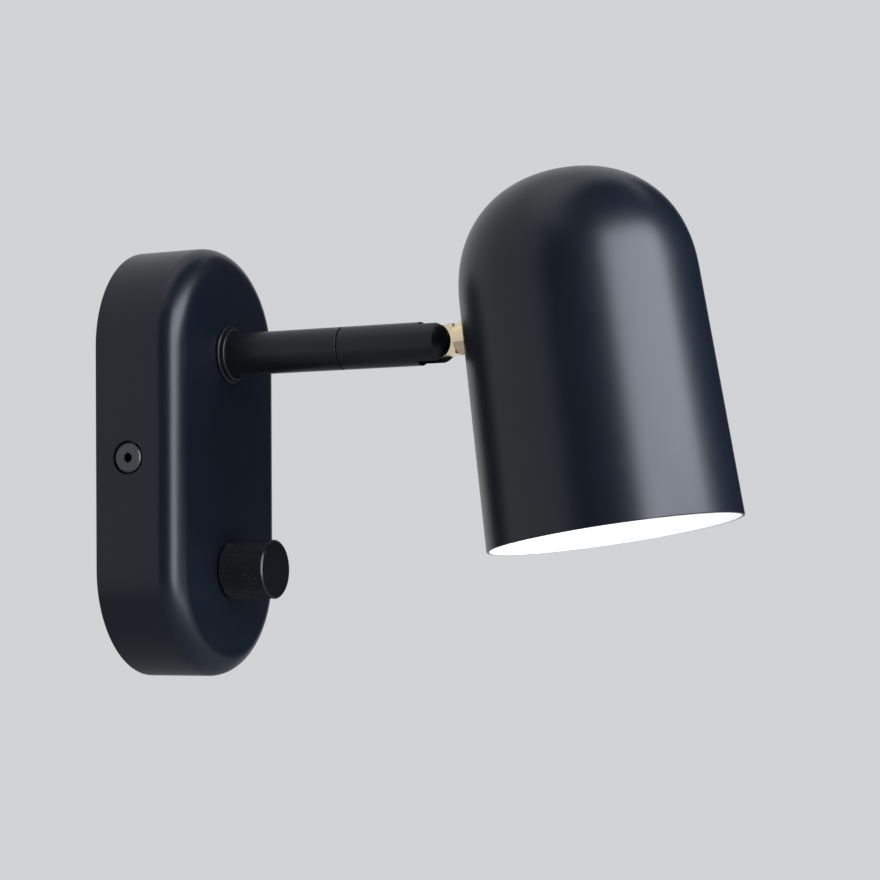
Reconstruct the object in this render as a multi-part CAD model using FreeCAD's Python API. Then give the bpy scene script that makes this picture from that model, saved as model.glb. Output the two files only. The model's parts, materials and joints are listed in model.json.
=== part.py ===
"""Bedside wall reading lamp: pill-shaped wall housing with a dimmer knob, swivelling arm, tilting dome shade.

Millimetres. Z is up and the wall is the plane Y = 0, with the lamp on its -Y side. The origin is the centre of the
housing's back, on the wall. A distance called "out" is measured from the wall into the room, so Y = -out.
"""
import FreeCAD
import Part
import math
import os

Vector = FreeCAD.Vector
OUTWARD = Vector(0, -1, 0)
UPWARD = Vector(0, 0, 1)
SIDEWAYS = Vector(1, 0, 0)

# ---------------------------------------------------------------- clearances
seat_gap = 0.02         # between a fitted piece and its seat, same body
thread_gap = 0.05       # between a screw and its thread, on the radius
running_gap = 0.05      # between a shaft and its bore, on the radius
face_gap = 0.05         # between flat faces that slide on each other
loose_gap = 0.3         # between pieces that pass without touching
past = 1.0              # how far a cutting tool runs past the face it cuts

# ---------------------------------------------------------------- wall housing
housing_height = 160.0
housing_width = 79.0
housing_depth = 33.6
housing_edge = 8.8      # rounding of the front edge
housing_wall = 2.5
arm_height = 40.2       # arm axis above the middle of the housing
knob_drop = 40.2        # knob axis below the middle of the housing

# side screws, one on each side at mid height
side_screw_out = 13.5
side_sink_radius = 6.1  # counterbore in the housing's side
side_head_radius = 5.3
side_head_height = 2.8
side_head_chamfer = 0.4
side_screw_radius = 2.5
side_screw_length = 14.0
side_socket_flats = 3.4
side_socket_depth = 2.2
side_boss_radius = 8.5
side_boss_length = 3.7
screw_hole_gap = 0.25   # clearance hole round a screw, on the radius

# ---------------------------------------------------------------- wall bracket
bracket_sheet = 2.0
bracket_end_gap = 5.0   # from the housing's inner wall to the plate's ends
tab_length = 21.0       # how far the side tabs stand out from the wall
tab_width = 18.0
tab_bend = 3.0          # outer bend radius
bend_relief = 1.5
collar_nut_radius = 4.6  # pressed-in thread collar in each tab
collar_nut_length = 3.0
slot_spacing = 124.0    # between the two wall-screw slots
slot_radius = 2.6
slot_length = 12.0
entry_radius = 11.0     # cable entry hole in the plate
entry_drop = 6.0        # its centre below the middle of the housing

# ---------------------------------------------------------------- grommet
grommet_bore = 4.5
grommet_lip = 13.0
grommet_lip_thickness = 1.6
grommet_recess = 0.4    # its back stays this far off the wall

# ---------------------------------------------------------------- terminal block
terminal_ways = 3
terminal_pitch = 9.0
terminal_height = 18.0
terminal_depth = 13.0
terminal_foot = 5.0
terminal_neck = 11.0    # height of the narrower upper part
terminal_centre = 20.0  # above the middle of the housing
terminal_entry_radius = 1.7
terminal_entry_out = 4.5  # from the block's back
terminal_plug = 4.0     # how far a lead goes into its way
terminal_screw_radius = 1.5
terminal_screw_length = 5.0
terminal_screw_spread = 6.0
fixing_screw_radius = 1.25
fixing_head_radius = 2.2
fixing_head_height = 1.6

# ---------------------------------------------------------------- earth screw
earth_screw_radius = 2.0
earth_head_radius = 3.8
earth_head_height = 2.6
earth_washer_radius = 4.8
earth_washer_thickness = 0.8
earth_inset = 13.0      # from the bracket's side edge
earth_z = -24.0

# ---------------------------------------------------------------- dimmer
dimmer_side = 28.0
dimmer_depth = 15.0
dimmer_corner = 3.0
bush_radius = 3.75
bush_length = 5.6       # beyond the housing's front face
shaft_radius = 3.0
shaft_length = 15.0     # beyond the housing's front face
shaft_tail = 9.0        # inside the dimmer, behind the front face
shaft_flat = 1.0        # depth of the flat on the shaft
shaft_flat_length = 9.2
dimmer_nut_flats = 11.0
dimmer_nut_height = 2.4
dimmer_washer_radius = 6.2
dimmer_washer_thickness = 0.6

# ---------------------------------------------------------------- knob
knob_radius = 11.0
knob_length = 18.7
knob_lift = 0.5         # gap between the knob and the housing
knob_recess_radius = 7.6
knob_recess_depth = 5.6
knob_front_chamfer = 0.5
knob_back_chamfer = 0.5
grub_radius = 1.5
grub_inset = 10.9       # from the knob's back

# ---------------------------------------------------------------- arm
arm_radius = 7.85
seam_out = 81.5         # where the fixed and the turning sections meet
pivot_out = 118.2       # tilt axis
tube_bore = 3.4
tube_edge = 0.35        # chamfer at the seam
nipple_radius = 5.0
nipple_bore = 3.4
nipple_inside = 9.5     # nipple length inside the housing's front wall
nipple_in_tube = 12.0
arm_nut_flats = 14.0
arm_nut_height = 3.5
arm_washer_radius = 8.2
arm_washer_thickness = 1.0

# stepped ring between the tube and the housing
collar_base_radius = 10.7
collar_step_radius = 9.5
collar_base_height = 1.2
collar_height = 2.8
collar_chamfer = 0.6

# ---------------------------------------------------------------- swivel at the seam
swivel_washer_thickness = 0.5
swivel_washer_radius = 7.3
spindle_radius = 4.0
spindle_bore = 2.2
spindle_in_fork = 12.0
bush_outer_radius = 5.6
swivel_bush_length = 14.0
stop_groove_radius = 5.1
stop_groove_depth = 3.0
stop_pin_radius = 0.9
stop_lug_half_angle = 7.0
spring_washer_thickness = 0.8
retaining_ring_thickness = 1.0
retaining_groove_depth = 0.5
spindle_tail = 1.5      # past the retaining ring

# ---------------------------------------------------------------- forked end and tilt hinge
fork_slot = 8.0
fork_slot_behind = 5.8  # root of the slot behind the pivot
hinge_screw_radius = 2.0
hinge_head_radius = 3.2
hinge_head_height = 1.5
hinge_head_inner = 5.5  # distance of the head's underside from the arm's middle plane
hinge_screw_tip = 6.5   # how far the screw reaches into the nearer ear, from the middle plane
hinge_socket_flats = 2.0
hinge_washer_radius = 4.6
hinge_washer_thickness = 0.5

tongue_half_height = 5.4
tongue_neck_start = 8.3  # where the flat tongue becomes round, from the pivot
saddle_start = 10.6      # where the saddle washer starts, from the pivot
saddle_radius = 6.3
stud_radius = 4.0
stud_bore = 1.9
lead_groove_floor = 2.4  # floor of the lead's groove over the hinge screw

# ---------------------------------------------------------------- shade
shade_tilt = 8.5        # degrees, lower end away from the wall
shade_reach = 13.85     # pivot to the shade's wall, square to the wall
shade_drop = 49.6       # apex to the hinge, along the shade's axis
shade_length = 128.1
shade_wall = 1.2
dome_height = 41.3
dome_radius = 42.1      # where the dome meets the skirt
mouth_radius = 45.0
dome_fullness = 2.27    # 2 is an ellipse, more is squarer
rim_round = 0.4

# ---------------------------------------------------------------- lamp holder carrier
strip_sheet = 1.5
strip_width = 14.0
strip_lap = 9.0         # how far it runs below the hinge
strip_rise = 8.5        # how far it runs straight above the hinge
strip_top = 27.5        # level of the carrier below the apex
strip_elbow = 32.0      # where it turns level, from the shade's axis
strip_overhang = 11.0   # past the shade's axis
shade_washer_radius = 7.0
shade_washer_thickness = 1.0
shade_nut_flats = 13.0
shade_nut_height = 4.0

# ---------------------------------------------------------------- lamp holder and lamp
holder_radius = 13.5
holder_height = 18.0
holder_screw_radius = 1.5
holder_screw_head_radius = 2.7
holder_screw_head_height = 1.6
holder_screw_length = 8.0
holder_screw_spacing = 16.0
lamp_neck_radius = 12.5
lamp_radius = 25.0
lamp_length = 47.0
lamp_neck_length = 16.0
lamp_rim_height = 6.0
lens_radius = 22.8
lens_thickness = 2.5
lens_recess = 0.8
pin_spacing = 10.0
pin_radius = 1.25
pin_head_radius = 2.5
pin_head_height = 2.7
pin_length = 6.5
pin_hole_radius = 2.8
pin_hole_depth = 9.0

# ---------------------------------------------------------------- internal leads
lead_radius = 1.3
lead_bend = 11.0
dimmer_lead_bend = 15.0
side_lead_bend = 7.9

# ---------------------------------------------------------------- derived places
inner_front = housing_depth - housing_wall
bracket_half = housing_width / 2 - housing_wall - side_boss_length - loose_gap
bracket_height = housing_height - 2 * housing_wall - 2 * bracket_end_gap
collar_front = housing_depth + collar_height
earth_x = earth_inset - bracket_half
knob_back = housing_depth + knob_lift
knob_front = knob_back + knob_length
grub_out = knob_back + grub_inset
flare = (mouth_radius - dome_radius) / (shade_length - dome_height)
flare_angle = math.degrees(math.atan(flare))


def at(x, out, z):
    """The point at this distance from the wall."""
    return Vector(x, -out, z)


def rod(radius, start, end, x=0.0, z=0.0):
    """A round bar that runs into the room between two distances from the wall."""
    return Part.makeCylinder(radius, end - start, at(x, start, z), OUTWARD)


def ring(outer, inner, start, end, x=0.0, z=0.0):
    """A round bar with a hole right through."""
    return rod(outer, start, end, x, z).cut(rod(inner, start - past, end + past, x, z))


def hexagon(flats, start, end, x=0.0, z=0.0):
    """A six-sided bar with one flat on top."""
    corner = flats / 2 / math.cos(math.radians(30))
    points = []
    for step in range(7):
        angle = math.radians(60 * step)
        points.append(at(x + corner * math.cos(angle), start, z + corner * math.sin(angle)))
    return Part.Face(Part.makePolygon(points)).extrude(OUTWARD * (end - start))


def nut(flats, bore, start, end, x=0.0, z=0.0):
    """A hexagon nut with both ends turned down at the corners."""
    corner = flats / 2 / math.cos(math.radians(30))
    bevel = (corner - flats / 2) * 0.6
    limit = [(start, 0), (start, corner - bevel), (start + bevel, corner), (end - bevel, corner)]
    limit += [(end, corner - bevel), (end, 0)]
    body = hexagon(flats, start, end, x, z).common(turned(limit, x, z))
    return body.cut(rod(bore, start - past, end + past, x, z))


def turned(outline, x=0.0, z=0.0):
    """A solid turned about an axis square to the wall, from (out, radius) points."""
    points = [at(x, out, z + radius) for out, radius in outline]
    face = Part.Face(Part.makePolygon(points + points[:1]))
    return face.revolve(at(x, 0, z), OUTWARD, 360)


def pill(width, height, start, end):
    """A prism whose outline is two half circles joined by straight sides."""
    radius = width / 2
    side = height / 2 - radius
    right = Part.LineSegment(at(radius, start, -side), at(radius, start, side)).toShape()
    top = Part.Arc(at(radius, start, side), at(0, start, height / 2), at(-radius, start, side)).toShape()
    left = Part.LineSegment(at(-radius, start, side), at(-radius, start, -side)).toShape()
    foot = Part.Arc(at(-radius, start, -side), at(0, start, -height / 2), at(radius, start, -side)).toShape()
    return Part.Face(Part.Wire([right, top, left, foot])).extrude(OUTWARD * (end - start))


def block(x_size, start, end, z_size, x=0.0, z=0.0):
    """A box centred on x and z between two distances from the wall."""
    return Part.makeBox(x_size, end - start, z_size, at(x - x_size / 2, end, z - z_size / 2))


def slot_hole(radius, length, start, end, x=0.0, z=0.0):
    """A cutting tool for an upright slot with round ends."""
    reach = length / 2 - radius
    tool = block(2 * radius, start, end, 2 * reach, x, z)
    for level in (z - reach, z + reach):
        tool = tool.fuse(rod(radius, start, end, x, level))
    return tool.removeSplitter()


def cross_rod(radius, start, end, out, z):
    """A round bar along X."""
    return Part.makeCylinder(radius, end - start, at(start, out, z), SIDEWAYS)


def bent_tube(points, radius, bend):
    """A round lead along straight runs, with an arc of the given radius at each corner."""
    edges = []
    start = points[0]
    for before, corner, after in zip(points, points[1:], points[2:]):
        incoming = (corner - before).normalize()
        outgoing = (after - corner).normalize()
        turn = incoming.getAngle(outgoing)
        reach = bend * math.tan(turn / 2)
        first = corner - incoming * reach
        last = corner + outgoing * reach
        inward = (outgoing - incoming).normalize()
        middle = corner + inward * (bend / math.cos(turn / 2) - bend)
        edges.append(Part.LineSegment(start, first).toShape())
        edges.append(Part.Arc(first, middle, last).toShape())
        start = last
    edges.append(Part.LineSegment(start, points[-1]).toShape())
    section = Part.Wire(Part.makeCircle(radius, points[0], points[1] - points[0]))
    return Part.Wire(edges).makePipeShell([section], True, False)


def folded_strip(centre_line, sheet, width):
    """A strip of sheet metal that follows (y, z) points, centred on X = 0."""
    left = []
    right = []
    for index, (y, z) in enumerate(centre_line):
        before = centre_line[max(index - 1, 0)]
        after = centre_line[min(index + 1, len(centre_line) - 1)]
        entry = Vector(0, y - before[0], z - before[1])
        leave = Vector(0, after[0] - y, after[1] - z)
        entry = entry if entry.Length > 0 else leave
        leave = leave if leave.Length > 0 else entry
        mean = (entry.normalize() + leave.normalize()).normalize()
        side = Vector(0, -mean.z, mean.y) * (sheet / 2 / mean.dot(entry))
        left.append(Vector(-width / 2, y, z) + side)
        right.append(Vector(-width / 2, y, z) - side)
    outline = left + right[::-1]
    return Part.Face(Part.makePolygon(outline + outline[:1])).extrude(SIDEWAYS * width)


def save(name, shape):
    """Writes one sub-part."""
    shape.exportStep(f"parts/{name}.step")
    print(f"{name}: solids {len(shape.Solids)}, valid {shape.isValid()}, volume {shape.Volume:.1f}")


# ---------------------------------------------------------------- wall housing and its screws
def rounded_pill(inset, depth):
    """The housing's form, inset on every side, with its front edge rounded."""
    body = pill(housing_width - 2 * inset, housing_height - 2 * inset, 0, depth)
    front = [edge for edge in body.Edges if abs(edge.CenterOfMass.y + depth) < 1e-6]
    return body.makeFillet(housing_edge - inset, front)


def side_screw_sink(side):
    """The stepped hole for one side screw."""
    start = at(side * (housing_width / 2 + past), side_screw_out, 0)
    inward = Vector(-side, 0, 0)
    sink = Part.makeCylinder(side_sink_radius, past + side_head_height + seat_gap, start, inward)
    hole_length = housing_wall + side_boss_length + 2 * past
    hole = Part.makeCylinder(side_screw_radius + screw_hole_gap, hole_length, start, inward)
    return sink.fuse(hole)


def make_housing():
    shell = rounded_pill(0, housing_depth).cut(rounded_pill(housing_wall, inner_front))
    inner_side = housing_width / 2 - housing_wall
    for side in (-1, 1):
        start = at(side * (inner_side + housing_wall / 2), side_screw_out, 0)
        boss = Part.makeCylinder(side_boss_radius, housing_wall / 2 + side_boss_length, start, Vector(-side, 0, 0))
        shell = shell.fuse(boss)
    for side in (-1, 1):
        shell = shell.cut(side_screw_sink(side))
    front_start = inner_front - past
    front_end = housing_depth + past
    shell = shell.cut(rod(nipple_radius + screw_hole_gap, front_start, front_end, z=arm_height))
    shell = shell.cut(rod(bush_radius + screw_hole_gap, front_start, front_end, z=-knob_drop))
    return shell.removeSplitter()


def side_screw(side):
    """A socket screw whose flat head is level with the housing's surface."""
    top = at(side * housing_width / 2, side_screw_out, 0)
    inward = Vector(-side, 0, 0)
    face_radius = side_head_radius - side_head_chamfer
    head = Part.makeCone(face_radius, side_head_radius, side_head_chamfer, top, inward)
    below = top + inward * side_head_chamfer
    head = head.fuse(Part.makeCylinder(side_head_radius, side_head_height - side_head_chamfer, below, inward))
    shank = Part.makeCylinder(side_screw_radius, side_screw_length, top, inward)
    corner = side_socket_flats / 2 / math.cos(math.radians(30))
    points = []
    for step in range(7):
        angle = math.radians(60 * step + 30)
        points.append(top + Vector(0, corner * math.cos(angle), corner * math.sin(angle)))
    socket = Part.Face(Part.makePolygon(points)).extrude(inward * side_socket_depth)
    return head.fuse(shank).cut(socket).removeSplitter()


def make_housing_screws():
    return Part.makeCompound([side_screw(-1), side_screw(1)])


# ---------------------------------------------------------------- bracket on the wall
def make_bracket():
    plate = pill(2 * bracket_half, bracket_height, 0, bracket_sheet)
    notch = tab_width + 2 * bend_relief
    for side in (-1, 1):
        plate = plate.cut(block(2 * tab_bend, -past, bracket_sheet + past, notch, side * bracket_half))
    outer = block(2 * bracket_half, 0, tab_length, tab_width)
    back_edges = [e for e in outer.Edges if abs(e.CenterOfMass.y) < 1e-6 and abs(e.CenterOfMass.z) < 1e-6]
    outer = outer.makeFillet(tab_bend, back_edges)
    inner = block(2 * (bracket_half - bracket_sheet), bracket_sheet, tab_length + past, tab_width + 2 * past)
    bend_edges = []
    for edge in inner.Edges:
        if abs(edge.CenterOfMass.y + bracket_sheet) < 1e-6 and abs(edge.CenterOfMass.z) < 1e-6:
            bend_edges.append(edge)
    inner = inner.makeFillet(tab_bend - bracket_sheet, bend_edges)
    bracket = plate.fuse(outer.cut(inner))
    tab_inner = bracket_half - bracket_sheet
    for side in (-1, 1):
        nut_start = at(side * (tab_inner + bracket_sheet / 2), side_screw_out, 0)
        nut_length = collar_nut_length + bracket_sheet / 2
        collar = Part.makeCylinder(collar_nut_radius, nut_length, nut_start, Vector(-side, 0, 0))
        bracket = bracket.fuse(collar)
    thread = side_screw_radius + thread_gap
    for side in (-1, 1):
        start = at(side * (bracket_half + past), side_screw_out, 0)
        length = bracket_sheet + collar_nut_length + 2 * past
        bracket = bracket.cut(Part.makeCylinder(thread, length, start, Vector(-side, 0, 0)))
    through = bracket_sheet + past
    for level in (-slot_spacing / 2, slot_spacing / 2):
        bracket = bracket.cut(slot_hole(slot_radius, slot_length, -past, through, 0, level))
    bracket = bracket.cut(rod(entry_radius, -past, through, 0, -entry_drop))
    bracket = bracket.cut(rod(earth_screw_radius + thread_gap, -past, through, earth_x, earth_z))
    for x in fixing_places:
        bracket = bracket.cut(rod(fixing_screw_radius + thread_gap, -past, through, x, terminal_centre))
    return bracket.removeSplitter()


def make_grommet():
    lip_start = bracket_sheet + seat_gap
    lip_end = lip_start + grommet_lip_thickness
    outline = [(grommet_recess, grommet_bore), (grommet_recess, entry_radius - thread_gap)]
    outline += [(lip_start, entry_radius - thread_gap), (lip_start, grommet_lip)]
    outline += [(lip_end - 0.5 * grommet_lip_thickness, grommet_lip), (lip_end, grommet_lip - 1.0)]
    outline += [(lip_end, grommet_bore)]
    return turned(outline, 0, -entry_drop)


def make_earth_screw():
    washer_end = bracket_sheet + seat_gap + earth_washer_thickness
    washer = rod(earth_washer_radius, bracket_sheet + seat_gap, washer_end, earth_x, earth_z)
    head_end = washer_end + earth_head_height
    outline = [(washer_end, 0), (washer_end, earth_head_radius), (head_end - 1.0, earth_head_radius)]
    outline += [(head_end, earth_head_radius - 1.2), (head_end, 0)]
    head = turned(outline, earth_x, earth_z)
    shank = rod(earth_screw_radius, loose_gap, washer_end, earth_x, earth_z)
    drive = block(5.0, head_end - 1.4, head_end + past, 0.9, earth_x, earth_z)
    cross = block(0.9, head_end - 1.4, head_end + past, 5.0, earth_x, earth_z)
    return washer.fuse(shank).fuse(head).cut(drive).cut(cross).removeSplitter()


# ---------------------------------------------------------------- terminal block
terminal_back = bracket_sheet + seat_gap
terminal_top = terminal_centre + terminal_height / 2
terminal_foot_level = terminal_centre - terminal_height / 2
terminal_width = terminal_ways * terminal_pitch
way_places = [(way + 0.5) * terminal_pitch - terminal_width / 2 for way in range(terminal_ways)]
fixing_places = [way * terminal_pitch - terminal_width / 2 for way in range(1, terminal_ways)]
screw_levels = [terminal_centre - terminal_screw_spread / 2, terminal_centre + terminal_screw_spread / 2]


def make_terminal_block():
    """Its ways side by side, low shoulders above and below, and a fixing hole between each two ways."""
    front = terminal_back + terminal_depth
    shoulder = terminal_back + terminal_foot
    entry_out = terminal_back + terminal_entry_out
    body = block(terminal_width, terminal_back, shoulder, terminal_height, 0, terminal_centre)
    body = body.fuse(block(terminal_width, terminal_back, front, terminal_neck, 0, terminal_centre))
    for x in way_places:
        low = at(x, entry_out, terminal_foot_level - past)
        body = body.cut(Part.makeCylinder(terminal_entry_radius, terminal_height + 2 * past, low, UPWARD))
        for level in screw_levels:
            body = body.cut(rod(terminal_screw_radius + thread_gap, entry_out, front + past, x, level))
    for x in fixing_places:
        body = body.cut(rod(fixing_screw_radius + screw_hole_gap, 0, front + past, x, terminal_centre))
        body = body.cut(rod(fixing_head_radius + thread_gap, shoulder, front + past, x, terminal_centre))
    return body.removeSplitter()


def make_terminal_screws():
    top = terminal_back + terminal_depth - 1.5
    screws = []
    for x in way_places:
        for level in screw_levels:
            screw = rod(terminal_screw_radius, top - terminal_screw_length, top, x, level)
            screws.append(screw.cut(block(4.0, top - 0.8, top + past, 0.6, x, level)))
    return Part.makeCompound(screws)


def make_fixing_screws():
    head_start = terminal_back + terminal_foot + seat_gap
    head_end = head_start + fixing_head_height
    screws = []
    for x in fixing_places:
        shank = rod(fixing_screw_radius, loose_gap, head_end, x, terminal_centre)
        head = rod(fixing_head_radius, head_start, head_end, x, terminal_centre)
        drive = block(6.0, head_end - 0.8, head_end + past, 0.7, x, terminal_centre)
        screws.append(shank.fuse(head).cut(drive).removeSplitter())
    return Part.makeCompound(screws)


# ---------------------------------------------------------------- dimmer
def make_dimmer():
    front = inner_front - seat_gap
    body = block(dimmer_side, front - dimmer_depth, front, dimmer_side, 0, -knob_drop)
    upright = [edge for edge in body.Edges if abs(edge.tangentAt(edge.FirstParameter).y) > 0.9]
    body = body.makeFillet(dimmer_corner, upright)
    body = body.fuse(rod(bush_radius, front - past, housing_depth + bush_length, z=-knob_drop))
    bore_start = housing_depth - shaft_tail - loose_gap
    body = body.cut(rod(shaft_radius + running_gap, bore_start, knob_front, z=-knob_drop))
    return body.removeSplitter()


def make_dimmer_washer():
    start = housing_depth + seat_gap
    return ring(dimmer_washer_radius, bush_radius + thread_gap, start, start + dimmer_washer_thickness, z=-knob_drop)


def make_dimmer_nut():
    start = housing_depth + 2 * seat_gap + dimmer_washer_thickness
    return nut(dimmer_nut_flats, bush_radius + thread_gap, start, start + dimmer_nut_height, z=-knob_drop)


def shaft_section(gap, start, end):
    """The shaft's D-shaped end, grown by a gap."""
    bar = rod(shaft_radius + gap, start, end, z=-knob_drop)
    flat_level = -knob_drop - (shaft_radius - shaft_flat) - gap
    waste = block(4 * shaft_radius, start - past, end + past, 2 * shaft_radius)
    waste.translate(Vector(0, 0, flat_level - shaft_radius))
    return bar.cut(waste)


def make_dimmer_shaft():
    tip = housing_depth + shaft_length
    round_end = tip - shaft_flat_length
    shaft = rod(shaft_radius, housing_depth - shaft_tail, round_end, z=-knob_drop)
    return shaft.fuse(shaft_section(0, round_end, tip)).removeSplitter()


def make_knob():
    """The turned blank with its recess, D-shaped bore and grub-screw hole; the knurl stays off the solid."""
    outline = [(knob_back, 0), (knob_back, knob_radius - knob_back_chamfer)]
    outline += [(knob_back + knob_back_chamfer, knob_radius), (knob_front - knob_front_chamfer, knob_radius)]
    outline += [(knob_front, knob_radius - knob_front_chamfer), (knob_front, 0)]
    knob = turned(outline, 0, -knob_drop)
    recess_end = knob_back + knob_recess_depth
    knob = knob.cut(rod(knob_recess_radius, knob_back - past, recess_end, z=-knob_drop))
    tip = housing_depth + shaft_length
    knob = knob.cut(shaft_section(running_gap, recess_end - past, tip + loose_gap))
    grub_hole = Part.makeCylinder(grub_radius + thread_gap, knob_radius, at(0, grub_out, -knob_drop), UPWARD * -1)
    return knob.cut(grub_hole).removeSplitter()


def make_grub_screw():
    tip = shaft_radius - shaft_flat + running_gap
    length = knob_radius - tip - 1.5
    start = at(0, grub_out, -knob_drop - tip)
    screw = Part.makeCylinder(grub_radius, length, start, UPWARD * -1)
    corner = 0.85
    points = []
    for step in range(7):
        angle = math.radians(60 * step)
        points.append(start + Vector(corner * math.cos(angle), corner * math.sin(angle), -length))
    return screw.cut(Part.Face(Part.makePolygon(points)).extrude(UPWARD * 1.5))


# ---------------------------------------------------------------- fixed half of the arm
def make_collar():
    start = housing_depth + seat_gap
    base_end = housing_depth + collar_base_height
    end = collar_front - seat_gap
    bore = nipple_radius + thread_gap
    outline = [(start, bore), (start, collar_base_radius), (base_end - collar_chamfer, collar_base_radius)]
    outline += [(base_end, collar_base_radius - collar_chamfer), (base_end, collar_step_radius)]
    outline += [(end - collar_chamfer, collar_step_radius), (end, collar_step_radius - collar_chamfer), (end, bore)]
    return turned(outline, 0, arm_height)


def make_nipple():
    return ring(nipple_radius, nipple_bore, inner_front - nipple_inside, collar_front + nipple_in_tube, z=arm_height)


def make_arm_washer():
    end = inner_front - seat_gap
    return ring(arm_washer_radius, nipple_radius + thread_gap, end - arm_washer_thickness, end, z=arm_height)


def make_arm_nut():
    end = inner_front - 2 * seat_gap - arm_washer_thickness
    return nut(arm_nut_flats, nipple_radius + thread_gap, end - arm_nut_height, end, z=arm_height)


def make_inner_tube():
    end = seam_out - swivel_washer_thickness / 2
    outline = [(collar_front, 0), (collar_front, arm_radius), (end - tube_edge, arm_radius)]
    outline += [(end, arm_radius - tube_edge), (end, 0)]
    tube = turned(outline, 0, arm_height)
    thread_end = collar_front + nipple_in_tube + loose_gap
    tube = tube.cut(rod(nipple_radius + thread_gap, collar_front - past, thread_end, z=arm_height))
    tube = tube.cut(rod(tube_bore, thread_end - past, end, z=arm_height))
    pocket = end - swivel_bush_length - swivel_pocket
    tube = tube.cut(rod(bush_outer_radius + seat_gap, pocket, end + past, z=arm_height))
    return tube.removeSplitter()


# ---------------------------------------------------------------- swivel
swivel_end = seam_out - swivel_washer_thickness / 2
bush_back = swivel_end - swivel_bush_length
ring_back = bush_back - face_gap - spring_washer_thickness - face_gap - retaining_ring_thickness
spindle_back = ring_back - spindle_tail
swivel_pocket = bush_back - spindle_back + loose_gap
stop_pin_out = swivel_end - stop_groove_depth / 2


def make_swivel_bush():
    """The bearing in the fixed tube, with a groove round its front face that one lug interrupts."""
    bush = ring(bush_outer_radius, spindle_radius + running_gap, bush_back, swivel_end, z=arm_height)
    groove_start = swivel_end - stop_groove_depth
    groove = rod(stop_groove_radius, groove_start, swivel_end + past, z=arm_height)
    reach = 2 * bush_outer_radius
    half = math.tan(math.radians(stop_lug_half_angle)) * reach
    centre = at(0, groove_start - past, arm_height)
    lug = Part.makePolygon([centre, centre + Vector(half, 0, -reach), centre + Vector(-half, 0, -reach), centre])
    lug = Part.Face(lug).extrude(OUTWARD * (stop_groove_depth + 3 * past))
    return bush.cut(groove.cut(lug)).removeSplitter()


def make_stop_pin():
    """A pin in the spindle that runs in the bush's groove."""
    start = at(0, stop_pin_out, arm_height + spindle_bore + loose_gap)
    return Part.makeCylinder(stop_pin_radius, stop_groove_radius - running_gap * 2 - spindle_bore - loose_gap, start,
                             UPWARD)


def make_spindle():
    front = seam_out + swivel_washer_thickness / 2 + spindle_in_fork
    spindle = ring(spindle_radius, spindle_bore, spindle_back, front, z=arm_height)
    groove = ring(spindle_radius + past, spindle_radius - retaining_groove_depth, ring_back,
                  ring_back + retaining_ring_thickness, z=arm_height)
    spindle = spindle.cut(groove)
    start = at(0, stop_pin_out, arm_height)
    return spindle.cut(Part.makeCylinder(stop_pin_radius + seat_gap, spindle_radius + past, start, UPWARD))


def make_spring_washer():
    end = bush_back - face_gap
    start = end - spring_washer_thickness
    return ring(bush_outer_radius - loose_gap, spindle_radius + running_gap, start, end, z=arm_height)


def make_retaining_ring():
    """A snap ring with its opening below."""
    inner = spindle_radius - retaining_groove_depth + seat_gap
    start = ring_back + seat_gap
    end = ring_back + retaining_ring_thickness - seat_gap
    snap = ring(bush_outer_radius - loose_gap, inner, start, end, z=arm_height)
    return snap.cut(block(3.0, start - past, end + past, bush_outer_radius, 0, arm_height - bush_outer_radius))


def make_swivel_washer():
    start = swivel_end + face_gap
    end = seam_out + swivel_washer_thickness / 2 - face_gap
    return ring(swivel_washer_radius, spindle_radius + running_gap, start, end, z=arm_height)


# ---------------------------------------------------------------- forked end
def make_fork():
    """The turning section: a round bar with a domed, slotted end."""
    start = seam_out + swivel_washer_thickness / 2
    outline = [(start, 0), (start, arm_radius - tube_edge), (start + tube_edge, arm_radius)]
    outline += [(pivot_out, arm_radius), (pivot_out, 0)]
    fork = turned(outline, 0, arm_height)
    dome = Part.makeSphere(arm_radius, at(0, pivot_out, arm_height), OUTWARD, 0, 90, 360)
    fork = fork.fuse(dome).removeSplitter()
    slot_root = pivot_out - fork_slot_behind
    fork = fork.cut(block(fork_slot, slot_root, pivot_out + 2 * arm_radius, 3 * arm_radius, 0, arm_height))
    fork = fork.cut(rod(spindle_radius + thread_gap, start - past, start + spindle_in_fork + loose_gap, z=arm_height))
    fork = fork.cut(rod(spindle_bore, start, slot_root + past, z=arm_height))
    far_wall = fork_slot / 2 - past
    fork = fork.cut(cross_rod(hinge_screw_radius + running_gap, far_wall, arm_radius + past, pivot_out, arm_height))
    head_room = hinge_head_inner - seat_gap
    fork = fork.cut(cross_rod(hinge_head_radius + running_gap, head_room, arm_radius + past, pivot_out, arm_height))
    blind = -hinge_screw_tip - loose_gap / 2
    fork = fork.cut(cross_rod(hinge_screw_radius + thread_gap, blind, -far_wall, pivot_out, arm_height))
    return fork.removeSplitter()


def make_hinge_screw():
    """Goes in from the side that faces away, and ends in a blind thread in the other ear."""
    head_end = hinge_head_inner + hinge_head_height
    shank = cross_rod(hinge_screw_radius, -hinge_screw_tip, hinge_head_inner, pivot_out, arm_height)
    head = cross_rod(hinge_head_radius, hinge_head_inner, head_end, pivot_out, arm_height)
    corner = hinge_socket_flats / 2 / math.cos(math.radians(30))
    points = []
    for step in range(7):
        angle = math.radians(60 * step)
        points.append(at(head_end, pivot_out + corner * math.cos(angle), arm_height + corner * math.sin(angle)))
    socket = Part.Face(Part.makePolygon(points)).extrude(SIDEWAYS * -1.0)
    return shank.fuse(head).cut(socket).removeSplitter()


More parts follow.
